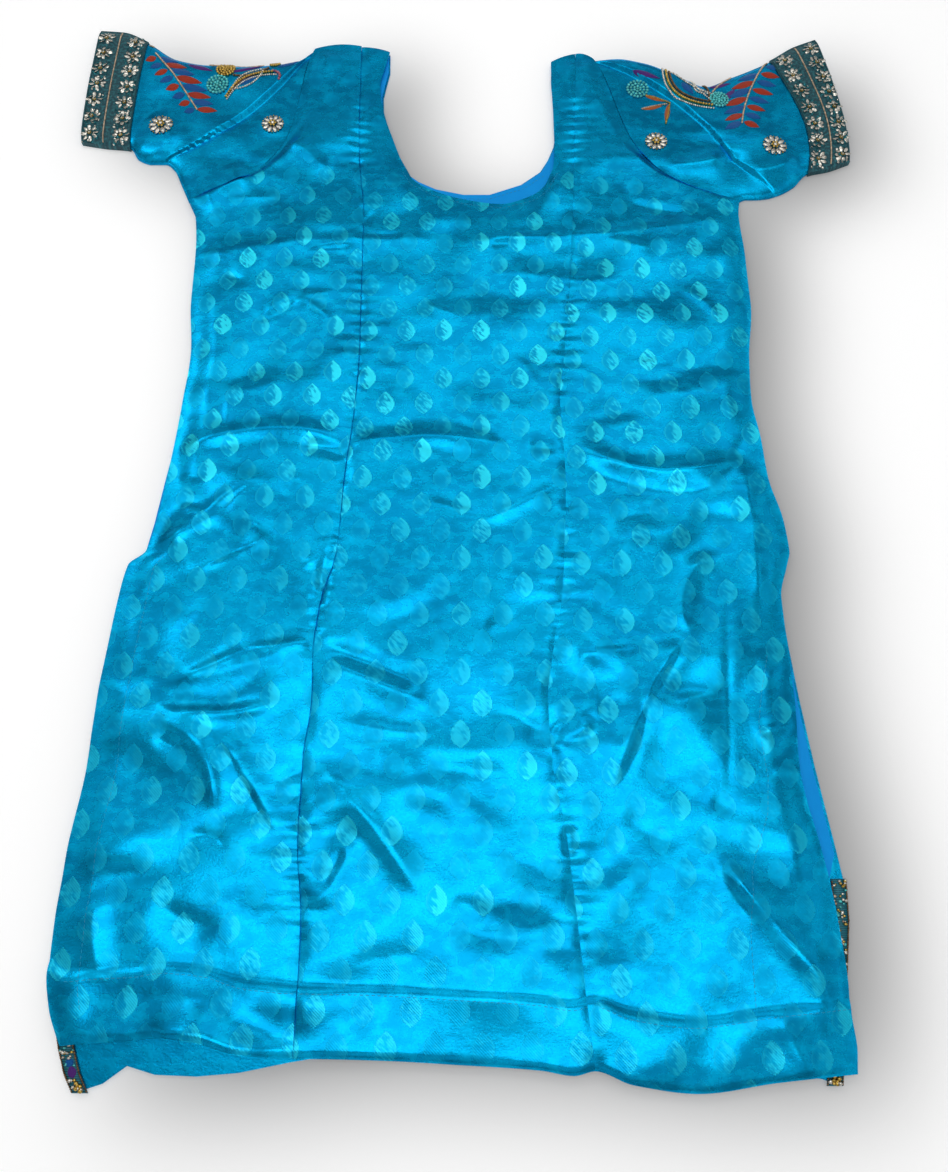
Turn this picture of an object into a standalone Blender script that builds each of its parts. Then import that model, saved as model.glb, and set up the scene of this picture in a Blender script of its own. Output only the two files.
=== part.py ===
"""A satin kurti laid flat, back side up: a reusable 3-D part.

Every piece is a closed cloth wall worked out from the sizes and tables below. Tables are in millimetres.
X runs to the right of the laid garment, Y toward its neck, Z up from the floor it lies on.
"""
import math
from collections import namedtuple

import bmesh
import bpy
import numpy as np
from mathutils import Vector
from mathutils.bvhtree import BVHTree

MM = 0.001

# Middle of the whole laid garment, so that the part stands centred on its frame
CENTRE_X = -0.32
CENTRE_Y = -1.54

# Cloth walls and the gaps between them
FRONT_WALL = 1.3
FRONT_HEM_WALL = 2.3
LINING_WALL = 1.0
BACK_WALL = 1.4
BACK_HEM_WALL = 2.6
SLEEVE_WALL = 1.3
BORDER_WALL = 0.9
SEAM_GAP = 0.3

# Heights above the floor
LINING_LOW = FRONT_WALL + SEAM_GAP
BACK_LOW = 3.1
HEM_LIFT = 0.9
BODY_LOFT = 2.7
SLEEVE_TOP = 5.7
EDGE_ROLL = 22.0
EDGE_SHARE = 0.25
LEAST_RISE = 1.2
SEAM_DIP = 0.9
SEAM_DIP_WIDE = 5.0

# Hems: how far the turned cloth reaches in, its step, and how far the front's lies inside its own edge
HEM_TURN = 38.0
HEM_STEP = 1.6
HEM_EDGE_ROW = 19.0
TURN_INSET = 0.25
LINING_CLEAR = 1.5

# Where the neck's round ends and the straps begin
NECK_LEVEL = 277.0
UNDERARM_LEVEL = 244.0
BACK_LENGTH = 702.0

# Outer edges of the laid body, from hem to underarm
Side = namedtuple("Side", "y back_left back_right front_left front_right lining_inset")
SIDES = [
    Side(-446, -238, 247, -238, 233, 9.8),
    Side(-434, -243, 246.5, -243, 237, 9.8),
    Side(-418, -249, 248, -250, 240, 9.8),
    Side(-400, -259, 247, -255, 243, 9.8),
    Side(-380, -263.5, 248, -257, 247, 9.8),
    Side(-344, -264, 246.5, -256, 253, 9.8),
    Side(-318, -263, 244, -255, 254.5, 9.8),
    Side(-302, -262.5, 241.5, -254, 252.5, 2.2),
    Side(-242, -257, 233, -251, 244.5, 2.2),
    Side(-196, -256.5, 235, -250, 239.5, 2.0),
    Side(-160, -254, 234.5, -248, 236.5, 1.6),
    Side(-121, -251, 234, -245, 234, 3.0),
    Side(-95, -247, 241, -241, 240, 3.0),
    Side(-84, -235, 244, -237, 243.5, 0.6),
    Side(-60, -230, 242.5, -233, 242, 0.6),
    Side(-22, -226, 234.5, -228.5, 234.5, 0.6),
    Side(12, -223, 232.5, -224, 232.5, 1.0),
    Side(45, -221, 228.5, -221, 228.5, 3.0),
    Side(83, -219, 230.5, -219, 230.5, 3.0),
    Side(138, -224, 237, -224, 237, 3.0),
    Side(184, -225, 237, -225, 237, 3.0),
    Side(225, -229, 235.5, -229, 235.5, 3.0),
    Side(244, -238, 238, -238, 238, 3.0),
]

# The two princess seams of the back
Seam = namedtuple("Seam", "y left right")
SEAMS = [
    Seam(-446, -104, 86),
    Seam(-400, -104, 82),
    Seam(-344, -105, 77),
    Seam(-290, -110, 72),
    Seam(-242, -110, 64),
    Seam(-196, -106, 62),
    Seam(-160, -107, 67),
    Seam(-121, -103, 74),
    Seam(-84, -94, 77),
    Seam(-22, -91, 80),
    Seam(12, -88, 79),
    Seam(45, -86, 77.5),
    Seam(83, -84, 82),
    Seam(138, -85, 88),
    Seam(225, -86, 94),
    Seam(283, -92, 97),
    Seam(338, -94, 99.5),
    Seam(422, -95, 103),
]

# The hems of the two panels
Hem = namedtuple("Hem", "x back front")
HEMS = [
    Hem(-264, -411, -411),
    Hem(-249, -418, -424),
    Hem(-238, -417, -445),
    Hem(-222, -416, -440),
    Hem(-208, -415.5, -430),
    Hem(-190, -413, -435),
    Hem(-164, -415, -436),
    Hem(-138, -422, -434),
    Hem(-106, -425, -428),
    Hem(-60, -426, -421),
    Hem(0, -429, -424),
    Hem(50, -432, -427),
    Hem(71, -435, -430),
    Hem(84, -432.5, -429),
    Hem(107, -440, -434),
    Hem(147, -445, -438),
    Hem(196, -439, -433),
    Hem(226, -436, -437.5),
    Hem(248, -434, -443),
]

# Lower corners of the front panel, from the end of its hem line outward
Corner = namedtuple("Corner", "side x y")
CORNERS = [
    Corner(-1, -255.5, -402),
    Corner(-1, -250, -420),
    Corner(-1, -244.5, -434),
    Corner(-1, -238, -445),
    Corner(1, 243.5, -398),
    Corner(1, 240, -420),
    Corner(1, 236, -441),
]

# The round of the neck, below the straps
Round = namedtuple("Round", "x back")
BACK_ROUND = [
    Round(-50, 277),
    Round(-44, 265),
    Round(-23, 252),
    Round(0, 244),
    Round(32, 239),
    Round(59, 248),
    Round(70, 258),
    Round(78, 277),
]
FRONT_ROUND = [
    Round(-53, 277),
    Round(-40, 266),
    Round(-25, 258),
    Round(-1, 252),
    Round(22, 252),
    Round(50, 263),
    Round(67, 277),
]

# The inner edges of the straps, from the round up to the shoulder
Strap = namedtuple("Strap", "y back_left back_right front_left front_right")
STRAPS = [
    Strap(277, -50, 78, -53, 67),
    Strap(290, -56, 79.5, -57.5, 74),
    Strap(305, -61, 80, -61, 79.5),
    Strap(338, -71, 80, -72, 84),
    Strap(362, -75.5, 79.5, -73, 83),
    Strap(375, -76, 79, -71, 81.5),
    Strap(392, -73, 79.5, -68, 80.5),
    Strap(415, -68.5, 80, -68, 80),
]

# Shoulder points: neck corner, princess seam and the crown between that and the armhole
Shoulder = namedtuple("Shoulder", "side neck_x neck_y seam_y crown")
SHOULDERS = [
    Shoulder(-1, -68.5, 414, 420, 3.5),
    Shoulder(1, 80, 402, 412, 2.5),
]
STRAP_CROWN = 1.5

# Where the front's shoulders bend between the neck corner and the armhole
Bend = namedtuple("Bend", "side x y")
FRONT_BENDS = [
    Bend(1, 103, 412),
    Bend(-1, -95, 420),
    Bend(-1, -115, 422),
]

# Sleeve sections from armhole to cuff: top edge, lower edge, bow toward the body, height of the underside
Section = namedtuple("Section", "top_x top_y low_x low_y bow under")
SLEEVE_LEFT = [
    Section(-138, 417, -238, 244, 38, 0),
    Section(-151, 404, -246, 262, 27, 0),
    Section(-171, 400, -254, 279, 18, 0),
    Section(-200, 398, -263, 286, 11, 0),
    Section(-233, 400, -275, 286, 6, 0),
    Section(-265, 407, -287, 291, 2, 0),
    Section(-293, 426, -295, 302, -1, 1.2),
    Section(-317, 438, -318, 305, -1, 1.2),
    Section(-339, 440, -339, 309, -1, 1.2),
]
SLEEVE_RIGHT = [
    Section(119, 406, 238, 244, 36, 0),
    Section(140, 408, 245, 247, 27, 0),
    Section(163, 402, 252, 247, 19, 0),
    Section(190, 389, 262, 248, 12, 0),
    Section(218, 374, 274, 252, 6, 0),
    Section(246, 386, 287, 260, -1, 0),
    Section(281, 403, 301, 274, -10, 1.2),
    Section(304, 419, 320, 279, -8, 1.2),
    Section(326, 429, 339, 287, -4, 1.2),
]
BORDER_FROM = 6
BOW_SKEW = 1.35
LEAST_SLEEVE = 2.2
SLEEVE_FOLD = 1.9
SLEEVE_HOLLOW = 0.3

# The overlapping edge on each sleeve, where its embroidered part lies over the rest
Lap = namedtuple("Lap", "x1 y1 x2 y2 bow high")
LAP_LEFT = Lap(-146, 404, -259, 289, 12, 4.2)
LAP_RIGHT = Lap(115, 407, 236, 286, 15, 4.2)

# Creases and folds: ends, sideways bow at the middle, height, half width
Fold = namedtuple("Fold", "name x1 y1 x2 y2 bow high wide")
FOLDS = [
    Fold("first storage fold, left", -222, 184, -20, 200, 5, 2.2, 8),
    Fold("first storage fold, right", 0, 198, 215, 222, -6, 2.2, 8),
    Fold("echo below it", 20, 165, 120, 150, 3, 1.8, 9),
    Fold("curl below the left strap", -165, 112, -112, 124, 20, 2.4, 9),
    Fold("middle storage fold, left", -222, -3, -92, 8, 14, 4.5, 10),
    Fold("tuck beside the left seam", -124, 3, -88, -7, 2, -3.0, 6),
    Fold("middle storage fold, centre", -90, 6, 40, 2, 7, 3.4, 9),
    Fold("middle storage fold, right", 82, 6, 216, -8, -18, 5.0, 12),
    Fold("valley under it", 95, -14, 205, -28, -14, -3.0, 10),
    Fold("slant in the centre", 14, -60, 72, -30, -2, 2.4, 7),
    Fold("last storage fold, left", -212, -186, -108, -155, -4, 3.0, 11),
    Fold("last storage fold, valley", -104, -154, -28, -186, 0, -3.0, 8),
    Fold("last storage fold, ridge", -100, -168, -24, -200, 0, 3.6, 9),
    Fold("echo at the left", -197, -206, -128, -197, -6, 2.4, 9),
    Fold("pull from the left slit", -222, -82, -153, -24, 3, 3.2, 9),
    Fold("curl at the left seam", -92, -66, -119, -100, 4, 2.6, 8),
    Fold("right pull, upper", 184, -86, 162, -152, -12, 4.2, 11),
    Fold("right pull, lower", 162, -150, 104, -258, -6, 4.6, 12),
    Fold("bridge to the right seam", 86, -165, 130, -157, 0, 2.2, 8),
    Fold("left fall, outer", -215, -200, -166, -281, 16, 3.0, 10),
    Fold("left fall, inner", -168, -224, -124, -292, 4, 2.6, 9),
    Fold("centre fall", -96, -244, -26, -330, 4, 4.0, 10),
    Fold("centre fall, back", -75, -291, -97, -336, 4, 3.0, 9),
    Fold("left edge drop", -238, -328, -228, -379, -4, 2.6, 9),
    Fold("nick at the right seam", 62, -232, 92, -212, 0, 2.6, 8),
    Fold("nick at the right slit", 206, -223, 236, -212, 0, 2.6, 8),
    Fold("right corner fall", 163, -300, 247, -406, 3, 5.2, 12),
    Fold("right corner nick", 199, -400, 216, -436, 0, 2.4, 8),
    Fold("pucker on the right seam", 94, 234, 86, 142, 0, 2.6, 7),
    Fold("lift of the hem", -200, -420, -118, -428, 0, 5.0, 24),
    Fold("right side ridge, upper", 226, 226, 222, 30, 3, 1.8, 8),
    Fold("right side ridge, lower", 218, -12, 220, -130, -3, 2.6, 9),
    Fold("strap to armhole, left", -156, 306, -118, 270, 2, 2.4, 8),
    Fold("left underarm puff", -232, 246, -186, 268, -4, 4.2, 14),
    Fold("right underarm fold", 176, 280, 230, 289, -3, 3.6, 9),
    Fold("right underarm notch", 236, 292, 238, 250, 0, -3.4, 7),
    Fold("left sleeve puff", -284, 336, -252, 300, 4, 2.4, 12),
    Fold("right sleeve puff", 246, 272, 292, 292, -8, 2.8, 11),
]

# Long soft waves under the folds: length across x, length across y, start, height
Wave = namedtuple("Wave", "along_x along_y start high")
WAVES = [
    Wave(210, 340, 0.4, 0.55),
    Wave(-150, 190, 2.1, 0.45),
    Wave(96, -260, 4.0, 0.35),
    Wave(330, -120, 1.2, 0.45),
]

# Rosettes sewn on the sleeves
Rosette = namedtuple("Rosette", "name side x y radius")
ROSETTES = [
    Rosette("rosette_left_outer", -1, -268, 322, 11.0),
    Rosette("rosette_left_inner", -1, -170, 326, 10.0),
    Rosette("rosette_right_inner", 1, 170, 307, 10.0),
    Rosette("rosette_right_outer", 1, 273, 299, 11.0),
]
PETALS = 8
ROSETTE_HEIGHT = 2.4
ROSETTE_CLEAR = 0.8
SCALLOP = 0.86

# Rings of a rosette: share of its radius and of its height
Ring = namedtuple("Ring", "share height")
RINGS = [
    Ring(0.0, 1.0),
    Ring(0.4, 1.15),
    Ring(0.75, 0.95),
    Ring(1.0, 0.5),
]

# Beaded borders on the slit edges of the front
BEAD_ROWS = (-318.0, -331.0, -344.0, -362.0, -380.0)
BEAD_WIDE = 8.5
BEAD_OVER = 1.5
BEAD_WALL = 1.1
BEAD_STEP = 2.0
BEAD_CLEAR = 1.3

# Colours of the cloths
COLOURS = {
    "satin": (0.0, 0.36, 0.50),
    "lining": (0.0, 0.27, 0.80),
    "border": (0.02, 0.12, 0.16),
    "beads": (0.62, 0.58, 0.42),
}

# Grid density of the solids
ROWS_BODY = 47
ROWS_ARMHOLE = 13
SIDE_STEPS = (0, 0.045, 0.15, 0.27, 0.39, 0.51, 0.63, 0.75, 0.86, 0.95, 1)
CENTRE_STEPS = (0, 0.035, 0.12, 0.222, 0.307, 0.392, 0.477, 0.562, 0.647, 0.732, 0.817, 0.9, 0.955, 1)
NECK_LEFT = 3
NECK_RIGHT = 11


def column(rows, name):
    return np.array([getattr(row, name) for row in rows], float)


def smooth(x, xs, ys):
    """A curve through the table's points that never overshoots them."""
    x = np.clip(np.asarray(x, float), xs[0], xs[-1])
    step = np.diff(xs)
    slope = np.diff(ys) / step
    before, after = slope[:-1], slope[1:]
    same = before * after > 0
    mean = np.where(same, 2 * before * after / np.where(same, before + after, 1), 0)
    tangent = np.concatenate([[slope[0]], mean, [slope[-1]]])
    i = np.clip(np.searchsorted(xs, x) - 1, 0, len(step) - 1)
    h = step[i]
    u = (x - xs[i]) / h
    return ((1 + 2 * u) * (1 - u) ** 2 * ys[i] + u * (1 - u) ** 2 * h * tangent[i]
            + u * u * (3 - 2 * u) * ys[i + 1] + u * u * (u - 1) * h * tangent[i + 1])


def lookup(rows, key, name, value):
    return smooth(value, column(rows, key), column(rows, name))


def ramp(low, high, value):
    u = np.clip((value - low) / (high - low), 0, 1)
    return u * u * (3 - 2 * u)


def along(row, x, y):
    """Share of the way along a bowed line and the signed distance to its left."""
    dx, dy = row.x2 - row.x1, row.y2 - row.y1
    length = math.hypot(dx, dy)
    s = ((x - row.x1) * dx + (y - row.y1) * dy) / length ** 2
    across = ((y - row.y1) * dx - (x - row.x1) * dy) / length
    inside = np.clip(s, 0, 1)
    return s, across - row.bow * 4 * inside * (1 - inside)


def relief(x, y):
    """Height that creases and slack add to a resting piece of cloth."""
    z = np.zeros(np.broadcast(x, y).shape)
    for fold in FOLDS:
        s, d = along(fold, x, y)
        fade = ramp(-0.06, 0.24, s) * ramp(-0.06, 0.24, 1 - s)
        z = z + fold.high * fade * np.exp(-(d / fold.wide) ** 2)
    for wave in WAVES:
        z = z + wave.high * np.sin(2 * math.pi * (x / wave.along_x + y / wave.along_y) + wave.start)
    return z


def lap_height(lap, side, x, y):
    """Step on a sleeve: full height at the edge, easing away over the embroidered part."""
    s, d = along(lap, x, y)
    over = d * side
    return lap.high * ramp(-2.0, 2.5, over) * (1 - 0.55 * ramp(8, 60, over)) * ramp(-0.3, 0.1, 1.15 - s)


def seam_point(side, f):
    """The princess seam's point at row f: 0 at the hem, 1 at the neck's round, 2 at the shoulder."""
    f = np.asarray(f, float)
    name = "left" if side < 0 else "right"
    foot_x = lookup(SEAMS, "y", name, -430.0)
    foot = lookup(HEMS, "x", "back", foot_x)
    top = SHOULDERS[0 if side < 0 else 1].seam_y
    y = np.where(f <= 1, foot + (NECK_LEVEL - foot) * f, NECK_LEVEL + (top - NECK_LEVEL) * (f - 1))
    return lookup(SEAMS, "y", name, y), y


def sections(side):
    return SLEEVE_LEFT if side < 0 else SLEEVE_RIGHT


def sleeve_point(side, s, t):
    """Plan of a sleeve: s counts sections from the armhole, t runs from the top edge to the lower edge."""
    rows = sections(side)
    index = np.arange(len(rows), dtype=float)
    px, py, qx, qy, bow, _ = (smooth(s, index, column(rows, name)) for name in Section._fields)
    dx, dy = qx - px, qy - py
    length = np.hypot(dx, dy)
    out = bow * np.sin(math.pi * np.clip(t, 0, 1) ** BOW_SKEW)
    return px + dx * t + side * out * dy / length, py + dy * t - side * out * dx / length


def ring_steps(count):
    return (1 - np.cos(np.linspace(0, math.pi, count + 1))) / 2


def side_point(side, g, f):
    """Plan of a side back: g from the princess seam to the outer edge, f from hem to shoulder."""
    g, f = np.broadcast_arrays(np.asarray(g, float), np.asarray(f, float))
    name = "back_left" if side < 0 else "back_right"
    corner = lookup(SIDES, "y", name, -418.0 if side < 0 else -434.0)
    foot = lookup(HEMS, "x", "back", corner)
    split = underarm_row(side)
    outer_y = foot + (UNDERARM_LEVEL - foot) * np.clip(f / split, 0, 1)
    outer_x = lookup(SIDES, "y", name, outer_y)
    t = 1 - np.clip((f - split) / (2 - split), 0, 1)
    arm_x, arm_y = sleeve_point(side, 0.0, t)
    high = f > split
    outer_x, outer_y = np.where(high, arm_x, outer_x), np.where(high, arm_y, outer_y)
    seam_x, seam_y = seam_point(side, f)
    seam_x = seam_x + side * SEAM_GAP / 2
    outer_x = outer_x - np.where(high, side * SEAM_GAP, 0)
    x = seam_x + (outer_x - seam_x) * g
    y = seam_y + (outer_y - seam_y) * g
    straight = seam_point(side, 0.0)[1] + (foot - seam_point(side, 0.0)[1]) * g
    hem = lookup(HEMS, "x", "back", x) - straight
    y = y + hem * np.clip(1 - f / 0.3, 0, 1) ** 2
    y = y + SHOULDERS[0 if side < 0 else 1].crown * 4 * g * (1 - g) * ramp(1.8, 2.0, f)
    return x, y


def underarm_row(side):
    foot = seam_point(side, 0.0)[1]
    return float((UNDERARM_LEVEL - foot) / (NECK_LEVEL - foot))


def centre_point(g, f):
    """Plan of the centre back below the straps: g from the left to the right princess seam."""
    g, f = np.broadcast_arrays(np.asarray(g, float), np.asarray(f, float))
    left_x, left_y = seam_point(-1, f)
    right_x, right_y = seam_point(1, f)
    left_x, right_x = left_x + SEAM_GAP / 2, right_x - SEAM_GAP / 2
    x = left_x + (right_x - left_x) * g
    foot_x = (1 - g) * seam_point(-1, 0.0)[0] + g * seam_point(1, 0.0)[0]
    foot = lookup(HEMS, "x", "back", foot_x)
    top_x = (1 - g) * seam_point(-1, 1.0)[0] + g * seam_point(1, 1.0)[0]
    inside = (top_x >= BACK_ROUND[0].x - 1) & (top_x <= BACK_ROUND[-1].x + 1)
    top = np.where(inside, lookup(BACK_ROUND, "x", "back", top_x), NECK_LEVEL)
    y = foot + (top - foot) * f
    ends = np.where(g <= 0, left_y, np.where(g >= 1, right_y, y))
    return x, ends


def strap_point(side, g, f):
    """Plan of the strap part of the centre back: g from the princess seam to the neck edge."""
    g, f = np.broadcast_arrays(np.asarray(g, float), np.asarray(f, float))
    seam_x, seam_y = seam_point(side, f)
    shoulder = SHOULDERS[0 if side < 0 else 1]
    seam_x = seam_x - side * SEAM_GAP / 2
    neck_y = NECK_LEVEL + (shoulder.neck_y - NECK_LEVEL) * (f - 1)
    neck_x = lookup(STRAPS, "y", "back_left" if side < 0 else "back_right", neck_y)
    bow = STRAP_CROWN * 4 * g * (1 - g) * ramp(1.8, 2.0, f)
    return seam_x + (neck_x - seam_x) * g, seam_y + (neck_y - seam_y) * g + bow


def back_height(x, y, rim):
    """Top of the back where its nearest free edge is rim away."""
    inner = ramp(0, EDGE_ROLL, rim)
    hem = 1 - ramp(HEM_TURN, HEM_TURN + HEM_STEP, y - lookup(HEMS, "x", "back", x))
    low = BACK_LOW + BACK_WALL + HEM_LIFT * hem
    rise = BODY_LOFT * inner + relief(x, y) * (EDGE_SHARE + (1 - EDGE_SHARE) * inner)
    rise = 0.5 * (rise + np.sqrt(rise * rise + LEAST_RISE))
    return low + rise + (BACK_HEM_WALL - BACK_WALL) * hem, BACK_WALL + (BACK_HEM_WALL - BACK_WALL) * hem


def seam_dip(distance):
    return SEAM_DIP * np.exp(-(distance / SEAM_DIP_WIDE) ** 2)


def side_sheet(side, g, f):
    """Points and walls of a side back over the given steps."""
    g, f = np.meshgrid(g, f)
    x, y = side_point(side, g, f)
    seam_x, seam_y = side_point(side, 0, f)
    edge_x, edge_y = side_point(side, 1, f)
    to_edge = np.hypot(x - edge_x, y - edge_y)
    to_top = np.hypot(*(a - b for a, b in zip(side_point(side, g, 2.0), (x, y))))
    rim = np.minimum(to_edge, to_top)
    top, wall = back_height(x, y, rim)
    top = top - seam_dip(np.hypot(x - seam_x, y - seam_y)) * ramp(0, 10, rim)
    return x, y, top, wall


def centre_sheet(g, f, f_top):
    """Points and walls of the centre back; rows above 1 exist only in the straps."""
    steps = np.asarray(g, float)
    rows = np.concatenate([np.asarray(f, float), np.asarray(f_top, float)])
    grid_g, grid_f = np.meshgrid(steps, rows)
    x, y = centre_point(grid_g, np.minimum(grid_f, 1))
    left_end, right_end = steps[neck_columns(steps)[0]], steps[neck_columns(steps)[1]]
    for side, inner, part in ((-1, left_end, steps <= left_end), (1, 1 - right_end, steps >= right_end)):
        share = steps[part] if side < 0 else 1 - steps[part]
        share_grid, f_grid = np.meshgrid(share / inner, rows)
        sx, sy = strap_point(side, share_grid, np.maximum(f_grid, 1))
        above = f_grid > 1
        x[:, part] = np.where(above, sx, x[:, part])
        y[:, part] = np.where(above, sy, y[:, part])
    ax, ay = seam_point(-1, grid_f)
    bx, by = seam_point(1, grid_f)
    to_seam = np.minimum(np.hypot(x - ax, y - ay), np.hypot(x - bx, y - by))
    neck_x = lookup(BACK_ROUND, "x", "back", x)
    between = (x > BACK_ROUND[0].x) & (x < BACK_ROUND[-1].x) & (grid_f <= 1)
    rim = np.where(between, neck_x - y, 60.0)
    low_left = np.hypot(x - BACK_ROUND[0].x, y - NECK_LEVEL)
    low_right = np.hypot(x - BACK_ROUND[-1].x, y - NECK_LEVEL)
    rim = np.where(grid_f <= 1, np.minimum(rim, np.minimum(low_left, low_right)), rim)
    for side, part in ((-1, x < 0), (1, x > 0)):
        shoulder = SHOULDERS[0 if side < 0 else 1]
        edge = lookup(STRAPS, "y", "back_left" if side < 0 else "back_right", y)
        near = np.minimum(np.abs(x - edge), np.abs(shoulder.seam_y - y))
        rim = np.where(part & (grid_f > 1), near, rim)
    top, wall = back_height(x, y, rim)
    top = top - seam_dip(to_seam) * ramp(0, 10, rim)
    return x, y, top, wall


def neck_columns(steps):
    """Columns where the straps' inner edges leave the round."""
    left = int(np.argmin(np.abs(steps - CENTRE_STEPS[NECK_LEFT])))
    right = int(np.argmin(np.abs(steps - CENTRE_STEPS[NECK_RIGHT])))
    return left, right


def closed_sheet(x, y, top, wall, keep=None):
    """Vertices and triangles of a wall of cloth over a grid; keep says which cells exist."""
    rows, cols = x.shape
    if keep is None:
        keep = np.ones((rows - 1, cols - 1), bool)
    used = np.zeros((rows, cols), bool)
    for j, i in zip(*np.nonzero(keep)):
        used[j:j + 2, i:i + 2] = True
    number = -np.ones((rows, cols), int)
    number[used] = np.arange(used.sum())
    count = int(used.sum())
    verts = [(x[j, i], y[j, i], top[j, i]) for j, i in zip(*np.nonzero(used))]
    verts += [(x[j, i], y[j, i], top[j, i] - wall[j, i]) for j, i in zip(*np.nonzero(used))]
    faces = []
    edges = {}
    for j, i in zip(*np.nonzero(keep)):
        a, b, c, d = number[j, i], number[j, i + 1], number[j + 1, i + 1], number[j + 1, i]
        if abs(top[j, i] - top[j + 1, i + 1]) <= abs(top[j, i + 1] - top[j + 1, i]):
            triangles = [(a, b, c), (a, c, d)]
        else:
            triangles = [(a, b, d), (b, c, d)]
        for p, q, r in triangles:
            faces.append((p, q, r))
            faces.append((r + count, q + count, p + count))
            for m, n in ((p, q), (q, r), (r, p)):
                edges[(m, n)] = edges.get((m, n), 0) + 1
    for (m, n), times in edges.items():
        if (n, m) not in edges:
            faces.append((n, m, m + count))
            faces.append((n, m + count, n + count))
    return verts, faces


def ring_profile(side, s, t, inner):
    """Upper and lower height of a sleeve's ring at section s and share t."""
    rows = sections(side)
    index = np.arange(len(rows), dtype=float)
    under = smooth(s, index, column(rows, "under"))
    x, y = sleeve_point(side, s, t)
    lap = LAP_LEFT if side < 0 else LAP_RIGHT
    free = 1 - ramp(BORDER_FROM - 1.2, BORDER_FROM - 0.1, s)
    swell = relief(x, y) * (EDGE_SHARE + (1 - EDGE_SHARE) * free) + lap_height(lap, side, x, y) * free
    full = np.sqrt(np.clip(1 - np.abs(2 * t - 1) ** 9, 0, 1))
    high = under + (SLEEVE_TOP - 0.6 + 0.5 * (swell + 0.6 + np.sqrt((swell + 0.6) ** 2 + 1.0))) * full
    high = np.maximum(high, under + LEAST_SLEEVE)
    if inner:
        return np.maximum(high - SLEEVE_WALL, under + SLEEVE_WALL + SLEEVE_HOLLOW), under + SLEEVE_WALL
    return high, under


def sleeve_ring(side, s, count, inner):
    """Closed loop of points round a sleeve at section s: over the top, then back underneath."""
    t = ring_steps(count)
    if inner:
        px, py = sleeve_point(side, s, 0.0)
        qx, qy = sleeve_point(side, s, 1.0)
        small = (SLEEVE_WALL + SLEEVE_HOLLOW) / float(np.hypot(qx - px, qy - py))
        t = small + (1 - 2 * small) * t
    x, y = sleeve_point(side, s, t)
    high, under = ring_profile(side, s, t, inner)
    under = np.broadcast_to(under, high.shape)
    middle = (high[0] + under[0]) / 2 if inner else under[0] + SLEEVE_FOLD
    end = (high[-1] + under[-1]) / 2 if inner else under[-1] + SLEEVE_FOLD
    upper = [(x[k], y[k], high[k]) for k in range(1, count)]
    lower = [(x[k], y[k], under[k]) for k in range(count - 1, 0, -1)]
    return [(x[0], y[0], middle)] + upper + [(x[-1], y[-1], end)] + lower


def closed_tube(outer, inner):
    """Vertices and triangles of a tube wall between two stacks of rings, both ends closed by rims."""
    stations, around = len(outer), len(outer[0])
    verts = [p for ring in outer for p in ring] + [p for ring in inner for p in ring]
    shift = stations * around
    faces = []
    for s in range(stations - 1):
        for k in range(around):
            n = (k + 1) % around
            a, b, c, d = s * around + k, s * around + n, (s + 1) * around + n, (s + 1) * around + k
            if abs(verts[a][2] - verts[c][2]) <= abs(verts[b][2] - verts[d][2]):
                triangles = [(a, b, c), (a, c, d)]
            else:
                triangles = [(a, b, d), (b, c, d)]
            for p, q, r in triangles:
                faces.append((p, q, r))
                faces.append((r + shift, q + shift, p + shift))
    for k in range(around):
        n = (k + 1) % around
        faces.append((n, k, k + shift))
        faces.append((n, k + shift, n + shift))
        a = (stations - 1) * around
        faces.append((a + k, a + n, a + n + shift))
        faces.append((a + k, a + n + shift, a + k + shift))
    return verts, faces


def pushed_out(ring, distance):
    """The ring's points moved out of it by a distance, in the upright plane across the sleeve."""
    pts = np.array(ring, float)
    chord = pts[len(ring) // 2] - pts[0]
    flat = np.array([chord[0], chord[1], 0])
    flat = flat / np.linalg.norm(flat)
    a = pts @ flat
    z = pts[:, 2]
    out = pts.copy()
    for k in range(len(ring)):
        before, after = k - 1, (k + 1) % len(ring)
        e1 = np.array([a[k] - a[before], z[k] - z[before]])
        e2 = np.array([a[after] - a[k], z[after] - z[k]])
        n1 = np.array([-e1[1], e1[0]]) / np.linalg.norm(e1)
        n2 = np.array([-e2[1], e2[0]]) / np.linalg.norm(e2)
        mid = n1 + n2
        mid = mid / np.linalg.norm(mid)
        move = distance / max(0.45, float(mid @ n1))
        out[k] = pts[k] + flat * mid[0] * move
        out[k, 2] = z[k] + mid[1] * move
    return [tuple(p) for p in out]


def front_outline(inset_sides, inset_neck, inset_arm):
    """The front panel's outline above its hem, counter-clockwise from the lower right."""
    points = []
    for row in SIDES[1:]:
        if row.y > lookup(HEMS, "x", "front", row.front_right) + HEM_TURN + 4:
            points.append((row.front_right - inset_sides * row.lining_inset, row.y))
    points = points[:-1]
    points += arm_edge(1, inset_arm)[::-1]
    points += [(row.x, row.y - inset_arm) for row in FRONT_BENDS if row.side > 0]
    right = SHOULDERS[1]
    points.append((right.neck_x + inset_neck, right.neck_y - inset_arm))
    points += [(row.front_right + inset_neck, row.y) for row in STRAPS[-2:0:-1]]
    points += [(row.x + inset_neck * 0.6, row.back - inset_neck * 0.8) for row in FRONT_ROUND[::-1]]
    points += [(row.front_left - inset_neck, row.y) for row in STRAPS[1:-1]]
    left = SHOULDERS[0]
    points.append((left.neck_x - inset_neck, left.neck_y - inset_arm))
    points += [(row.x, row.y - inset_arm) for row in FRONT_BENDS if row.side < 0]
    points += arm_edge(-1, inset_arm)
    for row in SIDES[-2:0:-1]:
        if row.y > lookup(HEMS, "x", "front", row.front_left) + HEM_TURN + 4:
            points.append((row.front_left + inset_sides * row.lining_inset, row.y))
    return points


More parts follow.
